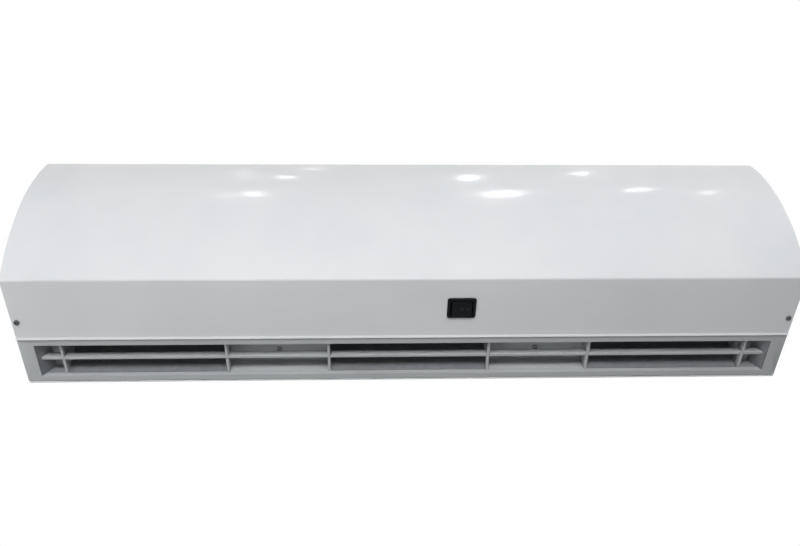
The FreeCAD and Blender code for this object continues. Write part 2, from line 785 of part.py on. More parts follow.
# Cast end bell of a motor, with the boss that carries it
def make_motor_bell(label, middle, side):
    body = new_body(label)
    half = new_sketch(body, "half_section", "XY_Plane")
    outer = [
        ("0", "shell_radius"),
        ("bell_rim", "shell_radius"),
        ("bell_depth", "bell_shoulder_diameter / 2"),
        ("bell_depth", "motor_boss_radius"),
        ("boss_reach", "motor_boss_radius"),
        ("boss_reach", "bore_radius"),
        ("bell_depth - bell_wall", "bore_radius"),
        ("bell_depth - bell_wall", "bell_shoulder_diameter / 2 - bell_wall / 2"),
        ("bell_rim - bell_wall / 2", "shell_radius - bell_wall"),
        ("0", "shell_radius - bell_wall"),
    ]
    outline(half, [("{0} * ({1})".format(side, along), up) for along, up in outer])
    turned(body, half)
    on_axis(body, "{0} + {1} * shell_length / 2".format(middle, side))


# Motor with a drawn shell, stator, two end bells in rubber rings, and a core on a through shaft
def make_motor(number, middle):
    tube("motor_shell_%d" % number, "shell_radius", "shell_radius - shell_wall", "shell_length", middle)
    tube("motor_stator_%d" % number, "shell_radius - shell_wall - seam", "stator_bore_diameter / 2",
         "stator_length", middle)
    for side in SIDES:
        label = "motor_%d_%s" % (number, SIDE_NAMES[side])
        make_motor_bell(label + "_bell", middle, side)
        tube(label + "_ring", "ring_radius", "motor_boss_radius + running_fit",
             "partition_sheet + 2 * ring_lip", "{0} + {1} * bay_half".format(middle, side))
    tube("motor_core_%d" % number, "stator_bore_diameter / 2 - core_gap", "bore_radius",
         "stator_length", middle)
    tube("motor_shaft_%d" % number, "shaft_radius", "", "shaft_length", middle)


# Outer bearing: flanged carrier on the end partition, sintered bush and the stub axle that turns in it
def make_outer_bearing(side):
    name = SIDE_NAMES[side]
    carrier = new_body("bearing_carrier_" + name)
    flange = new_sketch(carrier, "flange", "YZ_Plane")
    circle(flange, "0", "0", "carrier_flange_diameter / 2")
    circle(flange, "0", "0", "bush_diameter / 2 + running_fit")
    pad(carrier, flange, "carrier_flange", backwards=side < 0)
    boss = new_sketch(carrier, "boss", "YZ_Plane", "{0} * carrier_flange".format(side))
    circle(boss, "0", "0", "carrier_boss_diameter / 2")
    circle(boss, "0", "0", "bush_diameter / 2 + running_fit")
    pad(carrier, boss, "carrier_boss", backwards=side < 0)
    face = "(end_wall + partition_sheet / 2 + seam)"
    on_axis(carrier, "{0} * {1}".format(side, face))
    seat = "(carrier_flange + carrier_boss)"
    tube("bearing_bush_" + name, "bush_diameter / 2", "bore_radius", seat + " + bush_proud",
         "{0} * ({1} + ({2} + bush_proud) / 2)".format(side, face, seat))
    outer_end = "({0} + {1} + 2 * bush_proud)".format(face, seat)
    tube("stub_axle_" + name, "shaft_radius", "", "stub_length",
         "{0} * ({1} - stub_length / 2)".format(side, outer_end))


# Run capacitor on the back plate above a motor
def make_capacitor(number, middle):
    body = new_body("run_capacitor_%d" % number)
    case = new_sketch(body, "case", "XZ_Plane")
    centred_rectangle(case, "capacitor_length", "capacitor_height",
                      "0", "panel_under - capacitor_drop - capacitor_height / 2")
    block = pad(body, case, "capacitor_depth")
    doc.recompute()
    rounded = body.newObject("PartDesign::Fillet", body.Name + "_corners")
    upright = ["Edge%d" % count for count, edge in enumerate(block.Shape.Edges, start=1)
               if edge.BoundBox.YLength > edge.BoundBox.XLength + edge.BoundBox.ZLength]
    rounded.Base = (block, upright)
    rounded.setExpression("Radius", formula("capacitor_corner"))
    place(body, middle, "back_front")


# Stepped terminal block on the back plate above the right wheel
def make_terminal_block():
    body = new_body("terminal_block")
    section = new_sketch(body, "section", "YZ_Plane")
    high = "panel_over - top_rear_flange - terminal_clear"
    low = high + " - terminal_height"
    outline(section, [
        ("0", low),
        ("0", high),
        ("terminal_step - terminal_depth", high),
        ("terminal_step - terminal_depth", high + " - terminal_step"),
        ("-terminal_depth", high + " - terminal_step"),
        ("-terminal_depth", low + " + terminal_step"),
        ("terminal_step - terminal_depth", low + " + terminal_step"),
        ("terminal_step - terminal_depth", low),
    ])
    pad(body, section, "terminal_width", centred=True)
    place(body, WHEEL_MIDDLES[-1], "back_front")


# Housing of the rocker switch: bezel on the band, box through it and the well the rocker sits in
def make_switch_housing():
    body = new_body("switch_housing")
    bezel = new_sketch(body, "bezel", "XY_Plane")
    across = ("-bezel_length / 2", "bezel_length / 2")
    along = ("-bezel_width / 2", "bezel_width / 2")
    soft = "bezel_corner"
    outline(bezel, [
        (across[0] + " + " + soft, along[0]),
        (across[1] + " - " + soft, along[0], soft, -1),
        (across[1], along[0] + " + " + soft),
        (across[1], along[1] + " - " + soft, soft, -1),
        (across[1] + " - " + soft, along[1]),
        (across[0] + " + " + soft, along[1], soft, -1),
        (across[0], along[1] + " - " + soft),
        (across[0], along[0] + " + " + soft, soft, -1),
    ])
    pad(body, bezel, "bezel_proud", backwards=True)
    box = new_sketch(body, "box", "XY_Plane")
    centred_rectangle(box, "switch_length", "switch_width")
    pad(body, box, "switch_depth")
    well = new_sketch(body, "well", "XY_Plane", "-bezel_proud")
    centred_rectangle(well, "well_length", "well_width")
    pocket(body, well, "bezel_proud + well_depth", backwards=True)
    pivots = new_sketch(body, "pivot_holes", "XZ_Plane")
    circle(pivots, "0", "pivot_height", "pivot_diameter / 2 + running_fit")
    pocket(body, pivots, "switch_width + overrun", centred=True)
    place_on_slope(body, "switch_side", "switch_run", "-seam")


# Blade terminals on the back of the switch
def make_switch_terminals():
    body = new_body("switch_terminals")
    tabs = new_sketch(body, "tabs", "XY_Plane", "switch_depth")
    for step in THREE_IN_A_ROW:
        centred_rectangle(tabs, "blade_tab_sheet", "blade_tab_width", "{0} * blade_tab_pitch".format(step))
    pad(body, tabs, "blade_tab_length")
    place_on_slope(body, "switch_side", "switch_run", "-seam")


# Rocker with a dished face, turning on two stub pins
def make_rocker():
    body = new_body("switch_rocker")
    section = new_sketch(body, "section", "XZ_Plane")
    ear = "rocker_length / 2"
    heel = "rocker_heel_length / 2"
    outline(section, [
        ("-" + ear, "-rocker_ear"),
        ("0", "-rocker_dip"),
        (ear, "-rocker_ear"),
        (ear, "rocker_waist"),
        (heel, "rocker_heel"),
        ("-" + heel, "rocker_heel"),
        ("-" + ear, "rocker_waist"),
    ])
    pad(body, section, "rocker_width", centred=True)
    pins = new_sketch(body, "pins", "XZ_Plane")
    circle(pins, "0", "pivot_height", "pivot_diameter / 2")
    pad(body, pins, "pivot_length", centred=True)
    place_on_slope(body, "switch_side", "switch_run", "-seam")


# Heads and shanks of one set of screws whose head face lies on the sketches' plane
def add_screws(body, heads, shanks, centres, outward_is_back):
    for across, up in centres:
        circle(heads, across, up, "screw_head_diameter / 2")
        circle(shanks, across, up, "screw_diameter / 2")
    pad(body, heads, "screw_head", backwards=outward_is_back)
    pad(body, shanks, "screw_length", backwards=not outward_is_back)


# Screws that hold the cover: one in each end of the band and three along the top flange
def make_cover_screws():
    body = new_body("cover_screws")
    side_x = "{0} * (half_length - cover_screw_inset)"
    ends = [(side_x.format(side), "cover_screw_run") for side in SIDES]
    add_screws(body, new_slope_sketch(body, "band_heads"),
               new_slope_sketch(body, "band_shanks"), ends, True)
    top_x = "{0} * top_screw_span"
    row = [(top_x.format(step), "top_screw_inset - top_depth") for step in THREE_IN_A_ROW]
    add_screws(body, new_sketch(body, "top_heads", "XY_Plane", "half_height"),
               new_sketch(body, "top_shanks", "XY_Plane", "half_height"), row, False)


# Screw in the middle of each plate under a motor
def make_bay_screws():
    body = new_body("bay_cover_screws")
    low = "bay_recess - bay_sheet"
    centres = [(middle, "bay_screw_run") for middle in MOTOR_MIDDLES]
    add_screws(body, new_sketch(body, "heads", "XY_Plane", low),
               new_sketch(body, "shanks", "XY_Plane", low), centres, True)
    place_on_slope(body)


def check_document():
    """Stop if an object failed to work out, a cut takes nothing away or a sub-part has no sound solid."""
    for item in doc.Objects:
        if "Invalid" in item.State or "Error" in item.State:
            raise RuntimeError("%s failed: %s" % (item.Name, item.State))
        if item.TypeId == "PartDesign::Pocket" and not item.Shape.Volume < item.BaseFeature.Shape.Volume:
            raise RuntimeError("the cut %s takes nothing away" % item.Name)
    for piece in pieces:
        if piece.Shape.isNull() or not piece.Shape.isValid() or not piece.Shape.Solids:
            raise RuntimeError("%s has no sound solid" % piece.Label)


doc = FreeCAD.newDocument("air_curtain")
SHEET_OF = {name: "sizes." for name in SIZES}
pieces = []
sizes_sheet = fill_sheet("sizes", [(name, str(size)) for name, size in SIZES.items()])
SHEET_OF.update({name: "places." for name in PLACES})
fill_sheet("places", [(name, "=" + formula(text)) for name, text in PLACES.items()])

make_back_plate()
make_top_panel()
make_front_cover()
for end_side in SIDES:
    make_end_plate(end_side)
make_cable_grommet()
make_outlet_frame()
make_outlet_bar()
for partition_number, (partition_wall, partition_side) in enumerate(PARTITIONS, start=1):
    make_partition(partition_number, partition_wall, partition_side)
for bay_number, bay_middle in enumerate(WHEEL_MIDDLES, start=1):
    make_rear_guide(bay_number, bay_middle)
    make_tongue(bay_number, bay_middle)
    make_fan_wheel(bay_number, bay_middle)
for bay_number, bay_middle in enumerate(MOTOR_MIDDLES, start=1):
    make_bay_cover(bay_number, bay_middle)
    make_bay_bracket(bay_number, bay_middle)
    make_motor(bay_number, bay_middle)
    make_capacitor(bay_number, bay_middle)
for end_side in SIDES:
    make_end_pan(end_side)
    make_outer_bearing(end_side)
make_hub_screws()
make_terminal_block()
make_switch_housing()
make_switch_terminals()
make_rocker()
make_cover_screws()
make_bay_screws()

doc.recompute()
check_document()
os.makedirs("parts", exist_ok=True)
for piece in pieces:
    piece.Shape.exportStep("parts/%s.step" % piece.Label)
print("%d sub-parts written" % len(pieces))
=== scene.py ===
"""Looks of a wall-mounted air curtain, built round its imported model.

The casing is bent sheet steel under white powder coat. The cover, the screws, the rocker switch
and the cable grommet are worked out here as smooth surfaces that stand for their plain solids.
The edging on the bay walls' feet, the cheeks in the outlet's ends and the rocker's marks are added.
Every other solid keeps its shape and gets its finish from its material slot in the record.

Sizes in the dataclasses are millimetres, apart from the studio's. Meshes are metres in the part's
own frame: X along the casing, the front towards -Y, Z up, and the wall at y = 0.
"""

import json
import logging
import math
from dataclasses import dataclass
from enum import Enum
from functools import cache

import bmesh
import bpy
import numpy as np
from bpy.types import Material, Node, NodeSocket, NodeTree, Object
from mathutils import Matrix, Vector


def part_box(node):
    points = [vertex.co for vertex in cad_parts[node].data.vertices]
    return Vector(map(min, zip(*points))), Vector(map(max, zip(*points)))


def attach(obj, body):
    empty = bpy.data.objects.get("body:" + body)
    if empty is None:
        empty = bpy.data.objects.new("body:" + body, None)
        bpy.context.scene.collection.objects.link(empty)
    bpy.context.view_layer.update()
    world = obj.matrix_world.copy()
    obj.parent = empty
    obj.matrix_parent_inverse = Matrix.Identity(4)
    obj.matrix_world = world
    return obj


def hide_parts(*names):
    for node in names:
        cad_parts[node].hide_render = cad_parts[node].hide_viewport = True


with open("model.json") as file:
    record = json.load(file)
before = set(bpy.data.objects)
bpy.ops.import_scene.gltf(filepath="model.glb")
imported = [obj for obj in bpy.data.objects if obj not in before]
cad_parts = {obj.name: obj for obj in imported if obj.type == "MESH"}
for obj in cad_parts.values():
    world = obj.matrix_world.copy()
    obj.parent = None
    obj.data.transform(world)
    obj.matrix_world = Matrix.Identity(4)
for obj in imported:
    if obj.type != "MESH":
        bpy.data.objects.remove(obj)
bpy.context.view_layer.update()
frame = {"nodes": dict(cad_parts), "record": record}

LOG = logging.getLogger("air_curtain")
MM = 0.001


# Finishes


def linear(code: str) -> tuple[float, float, float, float]:
    """Turn an sRGB hex colour into linear red, green, blue and alpha.

    Args:
        code: Colour such as "#e6e8ea".

    Returns:
        Linear channels with an alpha of 1.
    """
    channels = np.array([int(code[start:start + 2], 16) for start in (1, 3, 5)]) / 255
    flat = np.where(channels <= 0.04045, channels / 12.92, ((channels + 0.055) / 1.055) ** 2.4)
    return (*flat.tolist(), 1.0)


def per_metre(size_mm: float) -> float:
    """Give the texture scale at which one feature is size_mm across."""
    return 1000.0 / size_mm


def add_node(tree: NodeTree, kind: str, inputs: dict[str | int, object] | None = None,
             **settings: object) -> Node:
    """Add a node with its settings, and link or set its inputs.

    Args:
        tree: Node tree that gets the node.
        kind: Blender's type name of the node.
        inputs: Socket name or number to a value, or to the output that is linked to it.
        settings: Attributes of the node itself.

    Returns:
        The new node.
    """
    node = tree.nodes.new(kind)
    for name, value in settings.items():
        setattr(node, name, value)
    for socket, value in (inputs or {}).items():
        if isinstance(value, NodeSocket):
            tree.links.new(value, node.inputs[socket])
        else:
            node.inputs[socket].default_value = value
    return node


def seen_rays(tree: NodeTree) -> NodeSocket:
    """Mark the rays that show a surface to the eye, straight or by a reflection.

    Args:
        tree: Node tree that gets the nodes.

    Returns:
        An output that is 1 for camera, glossy and transmission rays and 0 for the rays of light.
    """
    rays = add_node(tree, "ShaderNodeLightPath").outputs
    seen = rays["Is Camera Ray"]
    for other in ("Is Glossy Ray", "Is Transmission Ray"):
        seen = add_node(tree, "ShaderNodeMath", {0: seen, 1: rays[other]}, operation="MAXIMUM").outputs[0]
    return seen


@dataclass(frozen=True)
class Bench:
    """A material in the making: its node tree, its Object coordinates in metres and its shader."""

    tree: NodeTree
    place: NodeSocket
    shader: Node

    def feed(self, socket: str, source: NodeSocket) -> None:
        """Link an output to one of the shader's sockets."""
        self.tree.links.new(source, self.shader.inputs[socket])

    def fix(self, socket: str, value: object) -> None:
        """Set one of the shader's sockets to the same value all over."""
        self.shader.inputs[socket].default_value = value


@dataclass(frozen=True)
class Finish:
    """One real material. Each kind of finish adds its sizes and wires its own patterns.

    Roughness runs from smoother below its own value to rougher above it, and relief is the share
    of a pattern's height that shows.
    """

    name: str
    colour: str
    shade: str
    roughness: float
    smoother: float = 0.08
    rougher: float = 0.08
    rough_span: tuple[float, float] = (0.0, 1.0)
    tone_span: tuple[float, float] = (0.3, 0.7)
    relief: float = 0.6

    @cache
    def make(self) -> Material:
        """Build the material, once for each finish.

        Returns:
            A material with a Principled shader that the finish has wired.
        """
        material = bpy.data.materials.new(self.name)
        material.use_nodes = True
        tree = material.node_tree
        tree.nodes.clear()
        place = add_node(tree, "ShaderNodeTexCoord").outputs["Object"]
        shader = add_node(tree, "ShaderNodeBsdfPrincipled")
        self.wire(Bench(tree, place, shader))
        add_node(tree, "ShaderNodeOutputMaterial", {"Surface": shader.outputs[0]})
        return material

    def wire(self, bench: Bench) -> None:
        """Wire the patterns of this kind of finish."""
        raise NotImplementedError

    def lay(self, bench: Bench, tone: NodeSocket, gloss: NodeSocket, height: NodeSocket | None = None,
            depth_mm: float = 0.0) -> None:
        """Let patterns run the colour to its shade, vary the roughness and raise the surface.

        Args:
            bench: The material in the making.
            tone: 0 for the colour and 1 for the shade.
            gloss: Pattern that runs the roughness up over its span.
            height: Pattern of the relief, if there is one.
            depth_mm: Height of the relief.
        """
        mix = add_node(bench.tree, "ShaderNodeMix",
                       {0: tone, 6: linear(self.colour), 7: linear(self.shade)}, data_type="RGBA")
        rough = add_node(bench.tree, "ShaderNodeMapRange",
                         {"Value": gloss, "From Min": self.rough_span[0], "From Max": self.rough_span[1],
                          "To Min": self.roughness - self.smoother, "To Max": self.roughness + self.rougher})
        bench.feed("Base Color", mix.outputs[2])
        bench.feed("Roughness", rough.outputs[0])
        if height is not None:
            bump = add_node(bench.tree, "ShaderNodeBump",
                            {"Height": height, "Distance": depth_mm * MM, "Strength": self.relief})
            bench.feed("Normal", bump.outputs[0])


@dataclass(frozen=True)
class PowderCoat(Finish):
    """Polyester powder baked on sheet steel: even, half glossy, with a soft orange peel.

    The real peel is near 1 mm and hardly shows, so it is drawn coarser. Broad clouds stand for
    handling marks and dust that shift the tone and the gloss a little.
    """

    smoother: float = 0.04
    rougher: float = 0.05
    rough_span: tuple[float, float] = (0.3, 0.7)
    tone_span: tuple[float, float] = (0.35, 0.75)
    relief: float = 1.0
    gloss: float = 0.35
    gloss_roughness: float = 0.13
    peel_mm: float = 2.6
    peel_depth_mm: float = 0.004
    cloud_mm: float = 110.0

    def wire(self, bench: Bench) -> None:
        """Wire clouds of tone and gloss, and the orange peel.

        Args:
            bench: The material in the making.
        """
        clouds, peel = (
            add_node(bench.tree, "ShaderNodeTexNoise",
                     {"Vector": bench.place, "Scale": per_metre(size), "Detail": detail}).outputs[0]
            for size, detail in ((self.cloud_mm, 4.0), (self.peel_mm, 1.0)))
        share = add_node(bench.tree, "ShaderNodeMapRange",
                         {"Value": clouds, "From Min": self.tone_span[0], "From Max": self.tone_span[1]})
        self.lay(bench, share.outputs[0], clouds, peel, self.peel_depth_mm)
        bench.fix("Coat Weight", self.gloss)
        bench.fix("Coat Roughness", self.gloss_roughness)


@dataclass(frozen=True)
class FloorPaint(PowderCoat):
    """Matt floor paint that looks as pale as under full daylight to the eye and in reflections.

    The added glow reaches only the camera, glossy and transmission rays, so it lights nothing, and
    shadows still show on the paint.
    """

    glow: float = 0.62

    def wire(self, bench: Bench) -> None:
        """Wire the paint as a powder coat is, and add the glow.

        Args:
            bench: The material in the making.
        """
        super().wire(bench)
        strength = add_node(bench.tree, "ShaderNodeMath", {0: seen_rays(bench.tree), 1: self.glow},
                            operation="MULTIPLY")
        bench.feed("Emission Strength", strength.outputs[0])
        bench.fix("Emission Color", linear(self.colour))


@dataclass(frozen=True)
class SpangledZinc(Finish):
    """Hot-dip galvanised sheet: zinc crystals that each reflect a slightly different grey.

    A dull oxide skin scatters most of the light, so only part of it reflects as bare metal.
    """

    rougher: float = 0.1
    spangle_mm: float = 5.0
    bare: float = 0.3

    def wire(self, bench: Bench) -> None:
        """Wire one grey and one roughness per crystal.

        Args:
            bench: The material in the making.
        """
        crystals = add_node(bench.tree, "ShaderNodeTexVoronoi",
                            {"Vector": bench.place, "Scale": per_metre(self.spangle_mm)})
        share = add_node(bench.tree, "ShaderNodeSeparateColor", {0: crystals.outputs["Color"]}).outputs[0]
        self.lay(bench, share, share)
        bench.fix("Metallic", self.bare)


@dataclass(frozen=True)
class DrawnMetal(Finish):
    """Metal with fine lines from rolling, drawing or turning, long along one axis.

    Real lines are some tenths of a millimetre apart, so they are drawn coarser.
    """

    smoother: float = 0.06
    grain_mm: float = 1.2
    grain_depth_mm: float = 0.004
    detail: float = 3.0
    stretch: tuple[float, float, float] = (0.03, 1.0, 1.0)

    def wire(self, bench: Bench) -> None:
        """Wire the lines or the grain into tone, roughness and bump.

        Args:
            bench: The material in the making.
        """
        along = add_node(bench.tree, "ShaderNodeMapping", {"Vector": bench.place, "Scale": self.stretch})
        grain = add_node(bench.tree, "ShaderNodeTexNoise",
                         {"Vector": along.outputs[0], "Scale": per_metre(self.grain_mm),
                          "Detail": self.detail}).outputs[0]
        share = add_node(bench.tree, "ShaderNodeMapRange",
                         {"Value": grain, "From Min": self.tone_span[0],
                          "From Max": self.tone_span[1]}).outputs[0]
        self.lay(bench, share, share, grain, self.grain_depth_mm)
        bench.fix("Metallic", 1.0)


@dataclass(frozen=True)
class GrainedMetal(DrawnMetal):
    """Cast, sintered or plated metal with an open grain that breaks its gloss, alike along each axis.

    Real grain is some tenths of a millimetre, so it is drawn coarser.
    """

    smoother: float = 0.1
    rougher: float = 0.1
    grain_mm: float = 1.6
    grain_depth_mm: float = 0.03
    detail: float = 4.0
    stretch: tuple[float, float, float] = (1.0, 1.0, 1.0)


@dataclass(frozen=True)
class Moulded(Finish):
    """Moulded plastic or rubber with the fine spark grain of its tool.

    Real spark grain is near 0.1 mm, so it is drawn coarser. Broad clouds stand for handling.
    """

    relief: float = 0.7
    grain_mm: float = 0.5
    grain_depth_mm: float = 0.01
    cloud_mm: float = 14.0
    specular: float = 0.5

    def wire(self, bench: Bench) -> None:
        """Wire clouds of tone and gloss, and the grain.

        Args:
            bench: The material in the making.
        """
        clouds, grain = (
            add_node(bench.tree, "ShaderNodeTexNoise",
                     {"Vector": bench.place, "Scale": per_metre(size), "Detail": detail}).outputs[0]
            for size, detail in ((self.cloud_mm, 3.0), (self.grain_mm, 1.0)))
        self.lay(bench, clouds, clouds, grain, self.grain_depth_mm)
        bench.fix("Specular IOR Level", self.specular)


class Slot(Enum):
    """Material slots, each with its finish. In small letters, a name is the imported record's own."""

    # Smooth baked powder: an even cool white, with small soft mirror spots where lamps reflect.
    CASING_PAINT = PowderCoat("white_powder_coat", "#e3e5e8", "#dcdfe2", 0.34, gloss=0.7)
    # Thin pale grey powder: flat in tone, with hardly any gloss.
    FRAME_PAINT = PowderCoat("pale_grey_powder_coat", "#babdbf", "#b3b6b8", 0.42, gloss=0.2)
    # Zinc darkened a step as painted shade for the slots' deep inside: mid grey with faint crystals.
    GALVANISED_STEEL = SpangledZinc("galvanised_sheet", "#83868a", "#8d9094", 0.5)
    # Rolled strip darkened to dark grey as painted shade in the deep slots, with a broken sheen along the
    # blades.
    WHEEL_ALUMINIUM = DrawnMetal("shade_darkened_aluminium_wheel", "#44474a", "#505356", 0.45)
    # Die casting: light grey, with a grain that breaks its gloss.
    CAST_ALUMINIUM = GrainedMetal("die_cast_aluminium", "#9b9ea1", "#b1b4b7", 0.45)
    # Stoved enamel: near black, with a low even sheen.
    MOTOR_PAINT = PowderCoat("dark_motor_enamel", "#2e3136", "#363a3f", 0.4, gloss=0.2)
    # Stack of stamped sheets: dark steel, lined where one sheet meets the next.
    LAMINATION_STEEL = DrawnMetal("stamped_lamination_steel", "#55585c", "#6b6e72", 0.45,
                                  stretch=(1.0, 0.05, 0.05))
    # Ground bar: bright steel with tight rings round it.
    SHAFT_STEEL = DrawnMetal("ground_shaft_steel", "#a7a9ac", "#bfc1c4", 0.24, stretch=(1.0, 0.1, 0.1))
    # Sintered powder: warm brown metal, porous and nearly matt.
    BUSH_BRONZE = GrainedMetal("sintered_bronze", "#8a6a3c", "#a5824e", 0.5, grain_mm=0.6)
    # Moulded rubber: black and matt.
    BLACK_RUBBER = Moulded("moulded_black_rubber", "#151517", "#1f1f22", 0.62)
    # Glass-filled nylon: deep black, with a very weak gloss.
    SWITCH_PLASTIC = Moulded("black_nylon_switch", "#0b0e11", "#12161a", 0.4, specular=0.14)
    # Moulded PBT: black, a shade lighter and duller than the switch.
    BLACK_PLASTIC = Moulded("black_pbt_case", "#17181a", "#212225", 0.48)
    # Unpainted nylon: warm ivory, half matt.
    PALE_PLASTIC = Moulded("ivory_nylon_block", "#d5d3c8", "#c9c6ba", 0.45)
    # Thin tin over brass: pale gold metal with a soft gloss.
    TERMINAL_BRASS = GrainedMetal("tinned_brass_blade", "#b59a5b", "#c9b179", 0.34, grain_mm=0.8)
    # Zinc plate in a mid grey, darker than bright zinc: it looks dark beside white paint.
    SCREW_STEEL = GrainedMetal("mid_grey_zinc_screw", "#74777a", "#828588", 0.42, grain_mm=0.7)


# Pad-printed ink: dark grey on black, so that the marks only just show.
PRINT = Moulded("grey_pad_print", "#2c3034", "#35393e", 0.5, specular=0.14)
# Painted light: the same zinc crystals a step brighter, which lightens the end bays' pans in the dim end
# cells.
LIGHT_PAINTED_ZINC = SpangledZinc("light_painted_galvanised_sheet", "#9c9fa3", "#a5a8ac", 0.5)
# Rolled floor paint: pale and matt, with broad faint clouds.
FLOOR = FloorPaint("pale_floor_paint", "#e8e8e6", "#e2e2e0", 0.6, gloss=0.0, cloud_mm=900.0)


# Surfaces


class Body(Enum):
    """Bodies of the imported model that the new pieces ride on."""

    CASING = "casing"
    ROCKER = "rocker"


def joined(*columns: np.ndarray | float) -> np.ndarray:
    """Fit coordinates or point numbers to one shape and join them along a new last axis."""
    return np.stack(np.broadcast_arrays(*columns), axis=-1)


def grid_quads(rows: int, columns: int, close_columns: bool = False) -> np.ndarray:
    """Number the quads of a grid of points that is stored row by row.

    Args:
        rows: Count of rows.
        columns: Points in each row.
        close_columns: Join each row's last point to its first.

    Returns:
        Point numbers, one array of four for each cell.
    """
    above = np.arange(rows - 1)[:, None] * columns
    below = above + columns
    column = np.arange(columns if close_columns else columns - 1)
    beside = (column + 1) % columns
    return joined(above + column, above + beside, below + beside, below + column)


def edge_strip(skin: np.ndarray, back: np.ndarray) -> np.ndarray:
    """Close a sheet's edge with quads between two rows of point numbers."""
    return joined(skin[:-1], skin[1:], back[1:], back[:-1])


def repeated(faces: np.ndarray, shapes: int, points: int) -> np.ndarray:
    """Number the faces of equal shapes whose points are stored one shape after the other."""
    return (faces + points * np.arange(shapes)[:, None, None]).reshape(-1, faces.shape[-1])


def loft(rings: np.ndarray) -> list[list[int]]:
    """Join each shape's closed rings in turn and close the first and the last with a face.

    Args:
        rings: Points of the rings, shaped (shapes, rings, points, 3).

    Returns:
        Point numbers of each face.
    """
    shapes, count, around = rings.shape[:3]
    sides = grid_quads(count, around, close_columns=True).reshape(-1, 4)
    caps = np.arange(around) + around * np.array([[0], [count - 1]])
    side_faces, cap_faces = (repeated(faces, shapes, count * around).tolist() for faces in (sides, caps))
    return side_faces + cap_faces


def make_piece(name: str, points: np.ndarray, faces: list[list[int]], body: Body, slot: Slot,
               stands_for: str = "", sharp_deg: float = 35.0, finish: Finish | None = None) -> Object:
    """Make a mesh piece and let it ride on a body.

    Args:
        name: Piece name.
        points: Points in metres along the last axis.
        faces: Point numbers of each face.
        body: Body that carries the piece.
        slot: Record slot that the piece belongs to.
        stands_for: Node that the piece replaces, if any.
        sharp_deg: Edges that bend by more than this stay sharp.
        finish: Finish of the piece, where it isn't the slot's own.

    Returns:
        The piece, with its normals outward.
    """
    mesh = bpy.data.meshes.new(name)
    mesh.from_pydata(points.reshape(-1, 3).tolist(), [], faces)
    work = bmesh.new()
    work.from_mesh(mesh)
    bmesh.ops.remove_doubles(work, verts=work.verts, dist=1e-7)
    bmesh.ops.recalc_face_normals(work, faces=work.faces)
    work.to_mesh(mesh)
    work.free()
    mesh.shade_smooth()
    mesh.set_sharp_from_angle(angle=math.radians(sharp_deg))
    mesh.materials.append((finish or slot.value).make())
    piece = bpy.data.objects.new(name, mesh)
    bpy.context.scene.collection.objects.link(piece)
    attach(piece, body.value)
    if stands_for:
        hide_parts(stands_for)
    LOG.info("%s: %d faces on %s", name, len(mesh.polygons), body.value)
    return piece


def break_edges(piece: Object, width_mm: float, angle_deg: float = 50.0) -> None:
    """Round a piece's sharp edges off with a small two-step bevel.

    Args:
        piece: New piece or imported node.
        width_mm: Width of the bevel.
        angle_deg: Edges that bend by more than this are rounded.
    """
    bevel = piece.modifiers.new("broken_edges", "BEVEL")
    bevel.width = width_mm * MM
    bevel.segments = 2
    bevel.limit_method = "ANGLE"
    bevel.angle_limit = math.radians(angle_deg)
    bevel.use_clamp_overlap = False
    bevel.harden_normals = True


@dataclass(frozen=True)
class Slope:
    """Sloping underside of the casing: run goes down it from the crease, and inward rises from it."""

    crease_depth: float = 140.1
    crease_up: float = -82.0
    crease_height: float = 37.0

    @property
    def cosine(self) -> float:
        """Cosine of the slope's angle."""
        return self.crease_depth / math.hypot(self.crease_depth, self.crease_height)

    @property
    def sine(self) -> float:
        """Sine of the slope's angle."""
        return self.crease_height / math.hypot(self.crease_depth, self.crease_height)

    def points(self, run: np.ndarray | float, inward: np.ndarray | float) -> np.ndarray:
        """Turn run and inward into y and z.

        Args:
            run: Distance down the slope from the crease.
            inward: Distance into the casing.

        Returns:
            Points (y, z) along the last axis.
        """
        return joined(run * self.cosine + inward * self.sine - self.crease_depth,
                      self.crease_up - run * self.sine + inward * self.cosine)

    def stand(self, local: np.ndarray, x: float, run: float, inward: float = 0.0) -> np.ndarray:
        """Stand local points (across, down the slope, outward) on the slope.

        Args:
            local: Points in millimetres along the last axis.
            x: Where their origin is along the casing.
            run: Where it is down the slope.
            inward: How far into the casing it is.

        Returns:
            Points in metres in the part's frame.
        """
        axes = np.array([[1.0, 0.0, 0.0], [0.0, self.cosine, -self.sine], [0.0, -self.sine, -self.cosine]])
        return (np.array([x, *self.points(run, inward)]) + local @ axes) * MM


SLOPE = Slope()


# Sub-assemblies


